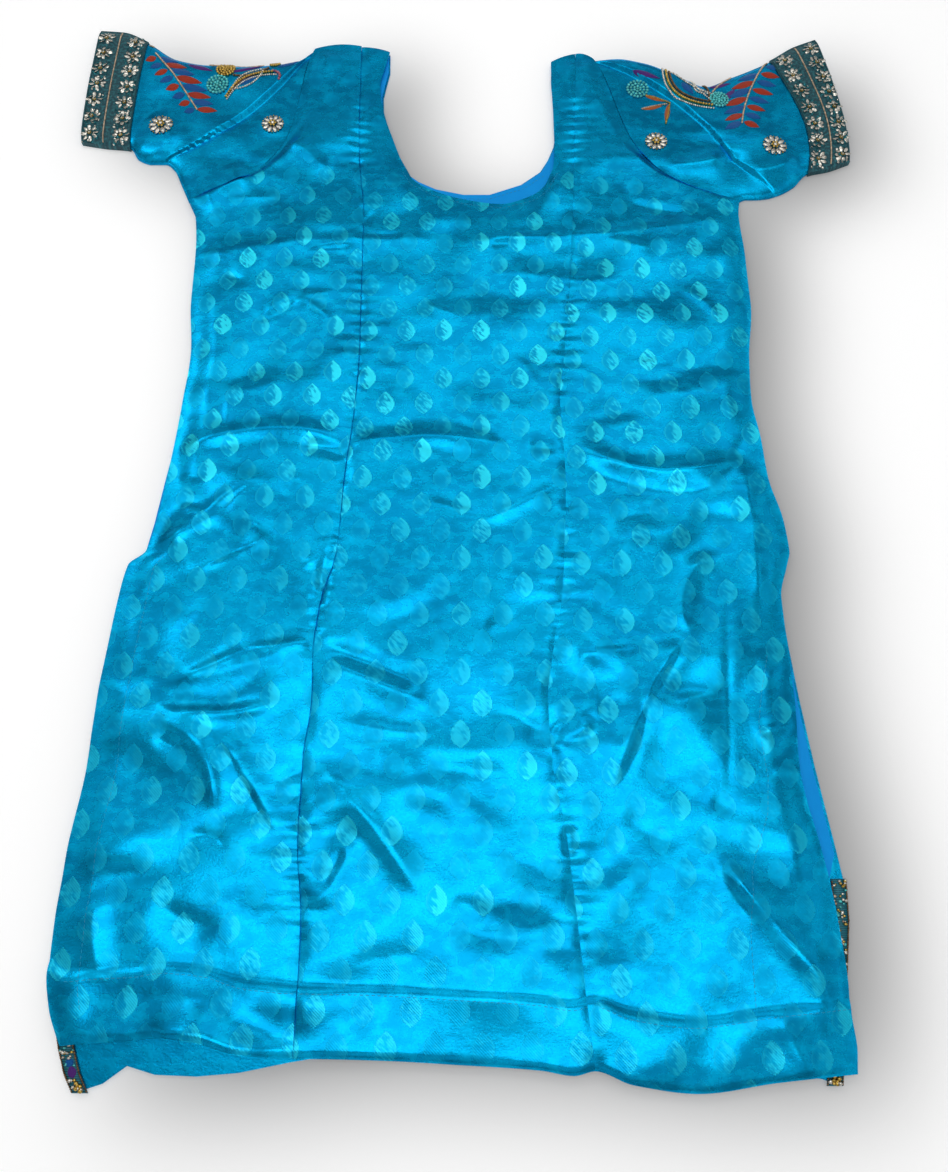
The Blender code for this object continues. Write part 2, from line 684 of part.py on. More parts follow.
def arm_edge(side, inset):
    """The armhole from shoulder to underarm, on the body's side of the seam."""
    t = ring_steps(ROWS_ARMHOLE)
    x, y = sleeve_point(side, 0.0, t)
    lean = np.sin(math.pi * t) * 0.6 + 0.4
    down = np.where(t > 0.75, 0.6, 0.0) - np.where(t < 0.2, 0.8, 0.0)
    return [(x[k] - side * (SEAM_GAP + inset * lean[k]), y[k] - inset * (down[k] if inset else 0))
            for k in range(len(t))]


def front_corner(side):
    return [(row.x, row.y) for row in CORNERS if row.side == side]


def front_edge(side, y):
    """The front's slit edge near the hem, straight between the panel's own corners."""
    name = "front_left" if side < 0 else "front_right"
    rows = [(getattr(row, name), row.y) for row in SIDES if -385 < row.y < -300][::-1] + front_corner(side)
    return float(np.interp(-y, [-p[1] for p in rows], [p[0] for p in rows]))


def hem_line(rise):
    """Points along the inner edge of the front's turned hem, from left to right."""
    return [(row.x, row.front + rise) for row in HEMS if -236 < row.x < 232]


def flat_slab(name, points, low, high, mat):
    """A flat outline as a filled 2D curve, lying between two heights."""
    curve = bpy.data.curves.new(name, "CURVE")
    curve.dimensions = "2D"
    curve.fill_mode = "BOTH"
    curve.extrude = (high - low) / 2 * MM
    spline = curve.splines.new("POLY")
    spline.points.add(len(points) - 1)
    for place, (x, y) in zip(spline.points, points):
        place.co = ((x - CENTRE_X) * MM, (y - CENTRE_Y) * MM, 0, 1)
    spline.use_cyclic_u = True
    curve.materials.append(mat)
    slab = bpy.data.objects.new(name, curve)
    slab.location.z = (low + high) / 2 * MM
    garment.objects.link(slab)
    return slab


def as_mesh(slab):
    """The curve's own mesh with its caps joined on, in a new object of the same name."""
    bpy.context.view_layer.update()
    name, place = slab.name, slab.matrix_world.copy()
    graph = bpy.context.evaluated_depsgraph_get()
    mesh = bpy.data.meshes.new_from_object(slab.evaluated_get(graph))
    bpy.data.objects.remove(slab)
    work = bmesh.new()
    work.from_mesh(mesh)
    bmesh.ops.remove_doubles(work, verts=work.verts, dist=1e-6)
    bmesh.ops.recalc_face_normals(work, faces=work.faces)
    work.to_mesh(mesh)
    work.free()
    solid = bpy.data.objects.new(name, mesh)
    solid.matrix_world = place
    garment.objects.link(solid)
    return solid


def front_panel(mat):
    """The front as a flat wall, with its hem's turned cloth joined on top."""
    left, right = front_corner(-1), front_corner(1)
    lower = left[1:] + hem_line(0) + right[:0:-1]
    sides = front_outline(0, 0, 0)
    panel = as_mesh(flat_slab("front", [right[0]] + sides + [left[0]] + lower, 0, FRONT_WALL, mat))
    turned = [(x + TURN_INSET, y + TURN_INSET) for x, y in left]
    turned += hem_line(TURN_INSET)
    turned += [(x - TURN_INSET, y + TURN_INSET) for x, y in right[::-1]]
    turned += hem_line(HEM_TURN)[::-1]
    fold = as_mesh(flat_slab("front_turned_hem", turned, FRONT_WALL / 2, FRONT_HEM_WALL, mat))
    garment.objects.unlink(fold)
    helpers.objects.link(fold)
    fold.hide_render = True
    fold.display_type = "WIRE"
    join = panel.modifiers.new("turned hem", "BOOLEAN")
    join.operation = "UNION"
    join.object = fold
    return panel


def lining_panel(mat):
    """The front's lining, ending just above the turned hem."""
    points = front_outline(1, 1.2, 3.0)
    end = hem_line(HEM_TURN + LINING_CLEAR)
    clear = BEAD_WIDE + BEAD_CLEAR
    first, last = end[0][1], end[-1][1] + 0.5
    points.append((front_edge(-1, first) + clear, first))
    points += end
    points.append((front_edge(1, last) - clear, last))
    return flat_slab("front_lining", points, LINING_LOW, LINING_LOW + LINING_WALL, mat)


def bead_border(side):
    """A strip that wraps the front's slit edge, stepping up where the hem is turned."""
    corner = front_corner(side)
    turn = corner[0][1] + BEAD_STEP
    rows = list(BEAD_ROWS) + [turn + BEAD_STEP, turn] + [p[1] for p in corner]
    rows[-1] += BEAD_STEP / 2
    stations = []
    for y in rows:
        edge = front_edge(side, y)
        lift = FRONT_HEM_WALL - FRONT_WALL if y <= turn else 0.0
        low, high = FRONT_WALL + SEAM_GAP + lift, FRONT_WALL + SEAM_GAP + BEAD_WALL + lift
        out = edge + side * (SEAM_GAP + BEAD_OVER)
        near = edge + side * SEAM_GAP
        inn = edge - side * BEAD_WIDE
        loop = [(out, 0), (out, high), (inn, high), (inn, low), (near, low), (near, 0)]
        stations.append([(x, y, z) for x, z in loop])
    verts = [p for loop in stations for p in loop]
    faces = []
    for s in range(len(stations) - 1):
        for k in range(6):
            n = (k + 1) % 6
            faces.append([s * 6 + n, s * 6 + k, (s + 1) * 6 + k, (s + 1) * 6 + n])
    faces.append(list(range(6)))
    last = (len(stations) - 1) * 6
    faces.append(list(range(last + 5, last - 1, -1)))
    return verts, faces


def rosette(row, tree):
    """A scalloped dome whose underside follows the sleeve below it."""
    spokes = PETALS * 2
    lows, highs = [], []
    for share, height in RINGS:
        for k in range(spokes if share else 1):
            turn = 2 * math.pi * k / spokes
            reach = row.radius * share * (1.0 if k % 2 == 0 or share < 0.7 else SCALLOP)
            x, y = row.x + reach * math.cos(turn), row.y + reach * math.sin(turn)
            ground = tree.ray_cast(Vector((x, y, 100)), Vector((0, 0, -1)))[0].z + ROSETTE_CLEAR
            lows.append((x, y, ground))
            highs.append((x, y, ground + ROSETTE_HEIGHT * height))
    count = len(lows)
    faces = []
    for k in range(spokes):
        n = (k + 1) % spokes
        faces.append((count, count + 1 + k, count + 1 + n))
        faces.append((0, 1 + n, 1 + k))
        for r in range(len(RINGS) - 2):
            a, b = 1 + r * spokes + k, 1 + r * spokes + n
            c, d = b + spokes, a + spokes
            faces += [(count + a, count + d, count + c), (count + a, count + c, count + b)]
            faces += [(a, c, d), (a, b, c)]
        rim = 1 + (len(RINGS) - 2) * spokes
        faces += [(rim + k, rim + n, count + rim + n), (rim + k, count + rim + n, count + rim + k)]
    return lows + highs, faces


def material(name, rough, metal=0.0):
    mat = bpy.data.materials.new(name)
    mat.use_nodes = True
    shader = mat.node_tree.nodes["Principled BSDF"]
    shader.inputs["Base Color"].default_value = (*COLOURS[name], 1)
    shader.inputs["Roughness"].default_value = rough
    shader.inputs["Metallic"].default_value = metal
    mat.diffuse_color = (*COLOURS[name], 1)
    return mat


def facing_out(verts, faces):
    """The faces, all turned over when their enclosed volume counts as negative."""
    volume = 0.0
    for face in faces:
        a = Vector(verts[face[0]])
        for k in range(1, len(face) - 1):
            volume += a.dot(Vector(verts[face[k]]).cross(Vector(verts[face[k + 1]])))
    return faces if volume > 0 else [list(face)[::-1] for face in faces]


def add_piece(name, shape, mat):
    verts, faces = shape
    faces = facing_out(verts, faces)
    mesh = bpy.data.meshes.new(name)
    mesh.from_pydata([((x - CENTRE_X) * MM, (y - CENTRE_Y) * MM, z * MM) for x, y, z in verts], [], faces)
    mesh.update()
    mesh.materials.append(mat)
    piece = bpy.data.objects.new(name, mesh)
    garment.objects.link(piece)
    return piece


for old in list(bpy.data.objects):
    bpy.data.objects.remove(old)
garment = bpy.data.collections.new("kurti")
helpers = bpy.data.collections.new("kurti helpers")
for group in (garment, helpers):
    bpy.context.scene.collection.children.link(group)

satin = material("satin", 0.42)
lining = material("lining", 0.6)
border = material("border", 0.45)
beads = material("beads", 0.3, 0.8)

# Back panels
body_rows = [0] + [rise / BACK_LENGTH for rise in (HEM_EDGE_ROW, HEM_TURN, HEM_TURN + HEM_STEP)]
underarm = underarm_row(-1)
body_rows += list(np.linspace(body_rows[-1], underarm, ROWS_BODY - 2)[1:])
arm_rows = list(2 - (2 - underarm) * ring_steps(ROWS_ARMHOLE)[::-1])[1:]
for side, name in ((-1, "back_side_left"), (1, "back_side_right")):
    rows = np.array(body_rows + arm_rows)
    x, y, top, wall = side_sheet(side, SIDE_STEPS, rows)
    add_piece(name, closed_sheet(x, y, top, wall), satin)

neck_rows = [f for f in arm_rows if f < 0.995] + [1.0]
strap_rows = [f for f in arm_rows if f > 1.005]
x, y, top, wall = centre_sheet(CENTRE_STEPS, body_rows + neck_rows, strap_rows)
cells = np.ones((x.shape[0] - 1, x.shape[1] - 1), bool)
cells[len(body_rows) + len(neck_rows) - 1:, NECK_LEFT:NECK_RIGHT] = False
add_piece("back_centre", closed_sheet(x, y, top, wall, cells), satin)

# Front panel, its lining and its beaded edges
front_panel(satin)
lining_panel(lining)
add_piece("front_border_left", bead_border(-1), beads)
add_piece("front_border_right", bead_border(1), beads)

# Sleeves with their borders and rosettes
for side, word in ((-1, "left"), (1, "right")):
    count = len(sections(side)) - 1
    stops = [k / 2 for k in range(2 * count + 1)]
    outer = [sleeve_ring(side, s, ROWS_ARMHOLE, False) for s in stops]
    inner = [sleeve_ring(side, s, ROWS_ARMHOLE, True) for s in stops]
    shape = closed_tube(outer, inner)
    add_piece("sleeve_" + word, shape, satin)
    cuff = [ring for ring, s in zip(outer, stops) if s >= BORDER_FROM]
    near = [pushed_out(ring, SEAM_GAP) for ring in cuff]
    far = [pushed_out(ring, SEAM_GAP + BORDER_WALL) for ring in cuff]
    add_piece("sleeve_border_" + word, closed_tube(far, near), border)
    tree = BVHTree.FromPolygons(shape[0], shape[1])
    for row in ROSETTES:
        if row.side == side:
            add_piece(row.name, rosette(row, tree), beads)
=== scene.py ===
# %% [markdown]
# # A satin kurti laid flat, back side up
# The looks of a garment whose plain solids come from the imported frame. Each cell makes one thing
# and prints what it made. Tables are in millimetres; X runs to the right, Y toward the neck, Z up.

# %% Load the frame
import math
from collections import namedtuple

import bpy
import bmesh
import numpy as np
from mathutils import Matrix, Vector
from mathutils.bvhtree import BVHTree


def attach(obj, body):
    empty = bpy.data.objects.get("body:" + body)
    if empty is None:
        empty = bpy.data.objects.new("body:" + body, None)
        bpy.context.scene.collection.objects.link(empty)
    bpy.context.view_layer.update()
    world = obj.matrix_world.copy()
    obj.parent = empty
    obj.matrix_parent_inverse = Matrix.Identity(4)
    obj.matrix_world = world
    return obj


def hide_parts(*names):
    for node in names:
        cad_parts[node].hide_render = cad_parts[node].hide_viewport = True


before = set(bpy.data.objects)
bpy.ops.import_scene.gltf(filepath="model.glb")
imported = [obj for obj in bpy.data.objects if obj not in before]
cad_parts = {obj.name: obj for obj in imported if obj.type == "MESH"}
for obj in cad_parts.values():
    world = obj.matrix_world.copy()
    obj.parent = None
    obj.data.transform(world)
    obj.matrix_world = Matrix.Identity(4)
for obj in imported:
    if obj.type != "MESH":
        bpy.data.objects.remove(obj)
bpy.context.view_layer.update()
MM = 0.001
print("frame nodes:", len(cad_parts))

# %% [markdown]
# ## Sizes and tables
# A laid garment is its pattern: panels, seams and hems, and the folds that storing it left. They could be
# drawn by hand in Edit Mode. Numbers in tables with named columns are easier to read and to change, and
# every later cell takes its shapes from them. Each row is one station, one point of a seam or one fold.

# %% Sizes
# Walls of the solids and of the cloth, the gap at a seam, and the spacing of the points
BACK_WALL = 1.4
BACK_HEM_WALL = 2.6
FRONT_WALL = 1.3
CLOTH = 1.1
SEAM_GAP = 0.3
GRID = 1.95

# The hems: how far they turn up, the back's rolled edge, and the arch where it is lifted
HEM_TURN = 38.0
HEM_STEP = 6.0
HEM_ROLL = 2.2
HEM_ROLL_WIDE = 4.5
HEM_ARCH = 7.5
HEM_ARCH_X = -158.0
HEM_ARCH_WIDE = 62.0
HEM_ARCH_DEEP = 26.0

# The room that the lining leaves at the hem, and the beaded strips at the slits
LINING_CLEAR = 1.5
BEAD_WIDE = 8.5
BEAD_CLEAR = 1.3

# The profile of a crease, the short ripples of slack cloth, and the puckers of a seam
CREST = 0.9
CREASE_HIGH = 1.2
CREASE_WIDE = 0.85
RIPPLE_SEED = 5
RIPPLES = 18
RIPPLE_SIZES = (24, 85)
RIPPLE_SLOPE = 0.029
RIPPLE_CALM = 0.3
PUCKER = 0.55
PUCKER_DIP = 0.45
PUCKER_LONG = 31.0
PUCKER_SHORT = 11.0

# Rows of points along an armhole
ROWS_ARMHOLE = 13

# How far the side backs reach over the seam's gap, as a share of their width
SEAM_CLOSE = 0.006

# How far the centre back's edges tuck under the side backs
SEAM_TUCK = 0.25
SEAM_TUCK_WIDE = 1.6

# Middle of the whole laid garment, so that the part stands centred on its frame
CENTRE_X = -0.32
CENTRE_Y = -1.54

# Heights above the floor
LINING_LOW = FRONT_WALL + SEAM_GAP
BACK_LOW = 3.1
HEM_LIFT = 0.9
BODY_LOFT = 2.7
SLEEVE_TOP = 5.7
EDGE_ROLL = 22.0
EDGE_SHARE = 0.25
LEAST_RISE = 1.2
SEAM_DIP = 0.9
SEAM_DIP_WIDE = 5.0

# How far from a free edge the seam's dip has its full depth
SEAM_FREE = 10.0

# Where the neck's round ends and the straps begin
NECK_LEVEL = 277.0
UNDERARM_LEVEL = 244.0
BACK_LENGTH = 702.0

# Outer edges of the laid body, from hem to underarm
Side = namedtuple("Side", "y back_left back_right front_left front_right lining_inset")
SIDES = [
    Side(-446, -238, 247, -238, 233, 9.8),
    Side(-434, -243, 246.5, -243, 237, 9.8),
    Side(-418, -249, 248, -250, 240, 9.8),
    Side(-400, -259, 247, -255, 243, 9.8),
    Side(-380, -263.5, 248, -257, 247, 9.8),
    Side(-344, -264, 246.5, -256, 253, 9.8),
    Side(-318, -263, 244, -255, 254.5, 9.8),
    Side(-302, -262.5, 241.5, -254, 252.5, 2.2),
    Side(-242, -257, 233, -251, 244.5, 2.2),
    Side(-196, -256.5, 235, -250, 239.5, 2.0),
    Side(-160, -254, 234.5, -248, 236.5, 1.6),
    Side(-121, -251, 234, -245, 234, 3.0),
    Side(-95, -247, 241, -241, 240, 3.0),
    Side(-84, -235, 244, -237, 243.5, 0.6),
    Side(-60, -230, 242.5, -233, 242, 0.6),
    Side(-22, -226, 234.5, -228.5, 234.5, 0.6),
    Side(12, -223, 232.5, -224, 232.5, 1.0),
    Side(45, -221, 228.5, -221, 228.5, 3.0),
    Side(83, -219, 230.5, -219, 230.5, 3.0),
    Side(138, -224, 237, -224, 237, 3.0),
    Side(184, -225, 237, -225, 237, 3.0),
    Side(225, -229, 235.5, -229, 235.5, 3.0),
    Side(244, -238, 238, -238, 238, 3.0),
]

# The two princess seams of the back
Seam = namedtuple("Seam", "y left right")
SEAMS = [
    Seam(-446, -104, 86),
    Seam(-400, -104, 82),
    Seam(-344, -105, 77),
    Seam(-290, -110, 72),
    Seam(-242, -110, 64),
    Seam(-196, -106, 62),
    Seam(-160, -107, 67),
    Seam(-121, -103, 74),
    Seam(-84, -94, 77),
    Seam(-22, -91, 80),
    Seam(12, -88, 79),
    Seam(45, -86, 77.5),
    Seam(83, -84, 82),
    Seam(138, -85, 88),
    Seam(225, -86, 94),
    Seam(283, -92, 97),
    Seam(338, -94, 99.5),
    Seam(422, -95, 103),
]

# The hems of the two panels
Hem = namedtuple("Hem", "x back front")
HEMS = [
    Hem(-264, -411, -411),
    Hem(-249, -418, -424),
    Hem(-238, -417, -445),
    Hem(-222, -416, -440),
    Hem(-208, -415.5, -430),
    Hem(-190, -413, -435),
    Hem(-164, -415, -436),
    Hem(-138, -422, -434),
    Hem(-106, -425, -428),
    Hem(-60, -426, -421),
    Hem(0, -429, -424),
    Hem(50, -432, -427),
    Hem(71, -435, -430),
    Hem(84, -432.5, -429),
    Hem(107, -440, -434),
    Hem(147, -445, -438),
    Hem(196, -439, -433),
    Hem(226, -436, -437.5),
    Hem(248, -434, -443),
]

# Lower corners of the front panel, from the end of its hem line outward
Corner = namedtuple("Corner", "side x y")
CORNERS = [
    Corner(-1, -255.5, -402),
    Corner(-1, -250, -420),
    Corner(-1, -244.5, -434),
    Corner(-1, -238, -445),
    Corner(1, 243.5, -398),
    Corner(1, 240, -420),
    Corner(1, 236, -441),
]

# The round of the neck, below the straps
Round = namedtuple("Round", "x back")
BACK_ROUND = [
    Round(-50, 277),
    Round(-44, 265),
    Round(-23, 252),
    Round(0, 244),
    Round(32, 239),
    Round(59, 248),
    Round(70, 258),
    Round(78, 277),
]
FRONT_ROUND = [
    Round(-53, 277),
    Round(-40, 266),
    Round(-25, 258),
    Round(-1, 252),
    Round(22, 252),
    Round(50, 263),
    Round(67, 277),
]

# The inner edges of the straps, from the round up to the shoulder
Strap = namedtuple("Strap", "y back_left back_right front_left front_right")
STRAPS = [
    Strap(277, -50, 78, -53, 67),
    Strap(290, -56, 79.5, -57.5, 74),
    Strap(305, -61, 80, -61, 79.5),
    Strap(338, -71, 80, -72, 84),
    Strap(362, -75.5, 79.5, -73, 83),
    Strap(375, -76, 79, -71, 81.5),
    Strap(392, -73, 79.5, -68, 80.5),
    Strap(415, -68.5, 80, -68, 80),
]

# Shoulder points: neck corner, princess seam and the crown between that and the armhole
Shoulder = namedtuple("Shoulder", "side neck_x neck_y seam_y crown")
SHOULDERS = [
    Shoulder(-1, -68.5, 414, 420, 3.5),
    Shoulder(1, 80, 402, 412, 2.5),
]
STRAP_CROWN = 1.5

# Where the front's shoulders bend between the neck corner and the armhole
Bend = namedtuple("Bend", "side x y")
FRONT_BENDS = [
    Bend(1, 103, 412),
    Bend(-1, -95, 420),
    Bend(-1, -115, 422),
]

# Sleeve sections from armhole to cuff: top edge, lower edge, bow toward the body, height of the underside
Section = namedtuple("Section", "top_x top_y low_x low_y bow under")
SLEEVE_LEFT = [
    Section(-138, 417, -238, 244, 38, 0),
    Section(-151, 404, -246, 262, 27, 0),
    Section(-171, 400, -254, 279, 18, 0),
    Section(-200, 398, -263, 286, 11, 0),
    Section(-233, 400, -275, 286, 6, 0),
    Section(-265, 407, -287, 291, 2, 0),
    Section(-293, 426, -295, 302, -1, 1.2),
    Section(-317, 438, -318, 305, -1, 1.2),
    Section(-339, 440, -339, 309, -1, 1.2),
]
SLEEVE_RIGHT = [
    Section(119, 406, 238, 244, 36, 0),
    Section(140, 408, 245, 247, 27, 0),
    Section(163, 402, 252, 247, 19, 0),
    Section(190, 389, 262, 248, 12, 0),
    Section(218, 374, 274, 252, 6, 0),
    Section(246, 386, 287, 260, -1, 0),
    Section(281, 403, 301, 274, -10, 1.2),
    Section(304, 419, 320, 279, -8, 1.2),
    Section(326, 429, 339, 287, -4, 1.2),
]
BORDER_FROM = 6
BOW_SKEW = 1.35
LEAST_SLEEVE = 2.2
SLEEVE_FOLD = 1.9

# The overlapping edge on each sleeve, where its embroidered part lies over the rest
Lap = namedtuple("Lap", "x1 y1 x2 y2 bow high")
LAP_LEFT = Lap(-146, 404, -259, 289, 12, 4.2)
LAP_RIGHT = Lap(115, 407, 236, 286, 15, 4.2)

# Creases and folds: ends, sideways bow at the middle, height, half width
Fold = namedtuple("Fold", "name x1 y1 x2 y2 bow high wide")
FOLDS = [
    Fold("first storage fold, left", -222, 184, -20, 200, 5, 2.2, 8),
    Fold("first storage fold, right", 0, 198, 215, 222, -6, 2.2, 8),
    Fold("echo below it", 20, 165, 120, 150, 3, 1.8, 9),
    Fold("curl below the left strap", -165, 112, -112, 124, 20, 2.4, 9),
    Fold("middle storage fold, left", -222, -3, -92, 8, 14, 4.5, 10),
    Fold("tuck beside the left seam", -124, 3, -88, -7, 2, -3.0, 6),
    Fold("middle storage fold, centre", -90, 6, 40, 2, 7, 3.4, 9),
    Fold("middle storage fold, right", 82, 6, 216, -8, -18, 5.0, 12),
    Fold("valley under it", 95, -14, 205, -28, -14, -3.0, 10),
    Fold("slant in the centre", 14, -60, 72, -30, -2, 2.4, 7),
    Fold("last storage fold, left", -212, -186, -108, -155, -4, 3.0, 11),
    Fold("last storage fold, valley", -104, -154, -28, -186, 0, -3.0, 8),
    Fold("last storage fold, ridge", -100, -168, -24, -200, 0, 3.6, 9),
    Fold("echo at the left", -197, -206, -128, -197, -6, 2.4, 9),
    Fold("pull from the left slit", -222, -82, -153, -24, 3, 3.2, 9),
    Fold("curl at the left seam", -92, -66, -119, -100, 4, 2.6, 8),
    Fold("right pull, upper", 184, -86, 162, -152, -12, 4.2, 11),
    Fold("right pull, lower", 162, -150, 104, -258, -6, 4.6, 12),
    Fold("bridge to the right seam", 86, -165, 130, -157, 0, 2.2, 8),
    Fold("left fall, outer", -215, -200, -166, -281, 16, 3.0, 10),
    Fold("left fall, inner", -168, -224, -124, -292, 4, 2.6, 9),
    Fold("centre fall", -96, -244, -26, -330, 4, 4.0, 10),
    Fold("centre fall, back", -75, -291, -97, -336, 4, 3.0, 9),
    Fold("left edge drop", -238, -328, -228, -379, -4, 2.6, 9),
    Fold("nick at the right seam", 62, -232, 92, -212, 0, 2.6, 8),
    Fold("nick at the right slit", 206, -223, 236, -212, 0, 2.6, 8),
    Fold("right corner fall", 163, -300, 247, -406, 3, 5.2, 12),
    Fold("right corner nick", 199, -400, 216, -436, 0, 2.4, 8),
    Fold("pucker on the right seam", 94, 234, 86, 142, 0, 2.6, 7),
    Fold("lift of the hem", -200, -420, -118, -428, 0, 5.0, 24),
    Fold("right side ridge, upper", 226, 226, 222, 30, 3, 1.8, 8),
    Fold("right side ridge, lower", 218, -12, 220, -130, -3, 2.6, 9),
    Fold("strap to armhole, left", -156, 306, -118, 270, 2, 2.4, 8),
    Fold("left underarm puff", -232, 246, -186, 268, -4, 4.2, 14),
    Fold("right underarm fold", 176, 280, 230, 289, -3, 3.6, 9),
    Fold("right underarm notch", 236, 292, 238, 250, 0, -3.4, 7),
    Fold("left sleeve puff", -284, 336, -252, 300, 4, 2.4, 12),
    Fold("right sleeve puff", 246, 272, 292, 292, -8, 2.8, 11),
]

# Fine creases of the back: ends, sideways bow, height (a trough below 0), half width
Crease = namedtuple("Crease", "x1 y1 x2 y2 bow high wide")
CREASES = [
    Crease(-84, -212, -18, -220, -3, 1.3, 5),
    Crease(-30, -249, 36, -251, 3, -2.2, 13),
    Crease(-89, -258, -51, -281, 3, -1.8, 9),
    Crease(-77, -298, -86, -314, 0, -0.9, 4),
    Crease(64, -222, 84, -209, 0, 1.1, 4),
    Crease(69, -208, 92, -204, 0, 1.0, 4),
    Crease(65, -227, 98, -221, -2, -1.5, 6),
    Crease(25, -206, 62, -224, 2, -1.6, 7),
    Crease(70, -286, 75, -304, 0, -1.0, 4),
    Crease(88, -160, 128, -157, 0, -1.0, 4),
    Crease(88, -160, 84, -178, 0, 0.9, 4),
    Crease(91, -187, 94, -212, 1, 0.9, 4),
    Crease(17, -147, 45, -135, 2, -1.6, 8),
    Crease(-5, -332, 16, -344, 2, -1.5, 9),
    Crease(-8, -346, 60, -352, -5, -1.9, 12),
    Crease(160, -155, 131, -200, 1, -1.6, 4),
    Crease(131, -200, 107, -259, 3, -1.4, 4),
    Crease(151, -200, 186, -195, 2, 1.1, 5),
    Crease(193, -124, 182, -266, 0, -0.6, 3),
    Crease(207, -221, 232, -213, -1, 1.4, 4),
    Crease(167, -304, 190, -344, -2, -1.3, 4),
    Crease(176, -309, 200, -344, -1, 1.3, 4),
    Crease(171, -265, 183, -274, 0, -0.9, 5),
    Crease(216, -181, 232, -170, 0, 1.0, 4),
    Crease(214, -249, 233, -241, -1, 1.0, 4),
    Crease(227, -289, 236, -284, 0, 0.9, 3),
    Crease(229, -308, 240, -305, 0, 0.9, 3),
    Crease(111, -276, 144, -296, -2, -1.8, 11),
    Crease(-213, -204, -127, -201, -5, 1.5, 5),
    Crease(-212, -210, -180, -231, 2, 1.3, 4),
    Crease(-180, -231, -166, -273, 3, 1.4, 4),
    Crease(-177, -215, -151, -250, 1, -1.3, 4),
    Crease(-151, -250, -125, -291, 0, -1.4, 4),
    Crease(-182, -291, -156, -296, 3, -1.6, 5),
    Crease(-142, -276, -126, -275, 0, -0.9, 3),
    Crease(-77, -299, -92, -329, 0, -1.1, 4),
    Crease(-126, -257, -111, -247, 0, -1.2, 4),
    Crease(-211, -225, -191, -234, 0, -1.1, 4),
    Crease(-198, -334, -157, -347, -4, -1.8, 12),
    Crease(-236, -84, -182, -54, -2, 1.2, 4),
    Crease(-182, -54, -160, -30, 1, -1.3, 4),
    Crease(-199, -101, -145, -73, 1, -1.5, 5),
    Crease(-202, -88, -164, -78, 1, -1.8, 11),
    Crease(-243, -120, -196, -139, -3, -1.9, 13),
    Crease(-199, -183, -153, -161, -1, 1.4, 4),
    Crease(-153, -161, -108, -155, -1, 1.5, 4),
    Crease(-99, -84, -102, -126, -3, -1.6, 4),
    Crease(-175, -219, -155, -239, 1, 1.0, 4),
    Crease(-216, -23, -197, -25, 0, 0.9, 4),
    Crease(-213, -47, -197, -54, 0, 0.9, 4),
    Crease(-136, -40, -125, -21, 0, -1.4, 7),
    Crease(-252, -201, -236, -203, 1, -0.8, 3),
    Crease(-166, -58, -137, -78, 3, 1.1, 5),
    Crease(-167, 117, -133, 143, -2, -1.4, 5),
    Crease(-133, 143, -106, 146, -1, 1.1, 5),
    Crease(-224, 187, -191, 181, 0, 1.0, 4),
    Crease(-206, 239, -157, 245, 1, 0.9, 5),
    Crease(-133, 189, -91, 194, 1, 1.5, 4),
    Crease(-86, 204, -50, 204, -1, -1.2, 4),
    Crease(-28, 135, -8, 123, -1, 1.3, 4),
    Crease(-96, 259, -88, 241, 0, -1.1, 4),
    Crease(-85, 215, -77, 228, 0, -1.0, 3),
    Crease(-198, 166, -182, 156, 0, -0.9, 4),
    Crease(-120, 6, -91, 1, 0, -1.6, 6),
    Crease(-184, 44, -183, 20, 0, 0.7, 3),
    Crease(-126, 133, -105, 113, 2, 0.9, 5),
    Crease(145, 239, 190, 228, -1, -2.0, 5),
    Crease(143, 259, 141, 234, 0, -0.9, 3),
    Crease(23, 194, 40, 196, 0, -1.1, 4),
    Crease(23, 202, 80, 204, -1, 0.9, 4),
    Crease(107, -7, 154, -19, -2, 1.2, 4),
    Crease(154, -19, 210, -10, -2, 1.2, 4),
    Crease(219, 11, 211, -5, 0, -1.3, 4),
    Crease(52, 4, 74, 1, 0, -1.4, 5),
    Crease(118, 200, 161, 183, 2, 1.0, 5),
    Crease(182, 150, 209, 119, 3, 0.9, 4),
    Crease(141, 78, 171, 79, 0, 0.7, 4),
    Crease(42, 86, 60, 52, 2, 0.9, 5),
    Crease(-60, 60, -30, 30, 3, -0.8, 9),
    Crease(-30, -40, 20, -56, -3, 1.1, 6),
    Crease(-60, -100, 10, -92, 4, -1.0, 12),
    Crease(110, -60, 150, -52, 2, -1.1, 9),
    Crease(-70, -370, -20, -366, 2, -1.0, 9),
    Crease(80, -372, 140, -380, 3, -1.2, 10),
]

# Long soft waves under the folds: length across x, length across y, start, height
Wave = namedtuple("Wave", "along_x along_y start high")
WAVES = [
    Wave(210, 340, 0.4, 0.55),
    Wave(-150, 190, 2.1, 0.45),
    Wave(96, -260, 4.0, 0.35),
    Wave(330, -120, 1.2, 0.45),
]

# Rosettes sewn on the sleeves
Rosette = namedtuple("Rosette", "name side x y radius")
ROSETTES = [
    Rosette("rosette_left_outer", -1, -268, 322, 11.0),
    Rosette("rosette_left_inner", -1, -170, 326, 10.0),
    Rosette("rosette_right_inner", 1, 170, 307, 10.0),
    Rosette("rosette_right_outer", 1, 273, 299, 11.0),
]

NECK_LEFT = 3
NECK_RIGHT = 11
CENTRE_STEPS = (0, 0.035, 0.12, 0.222, 0.307, 0.392, 0.477, 0.562, 0.647, 0.732, 0.817, 0.9, 0.955, 1)
print("folds:", len(FOLDS), "fine creases:", len(CREASES), "side stations:", len(SIDES))

# %% [markdown]
# ## Shape functions
# Cloth runs smoothly between the places that a table names. A curve object could do that, but a plain
# function works on a whole grid of points at once. smooth() joins a table's rows with no overshoot,
# relief() adds the creases, and the functions that end in _point lay each panel out between its seams.

# %% Shape functions
def column(rows, name):
    return np.array([getattr(row, name) for row in rows], float)


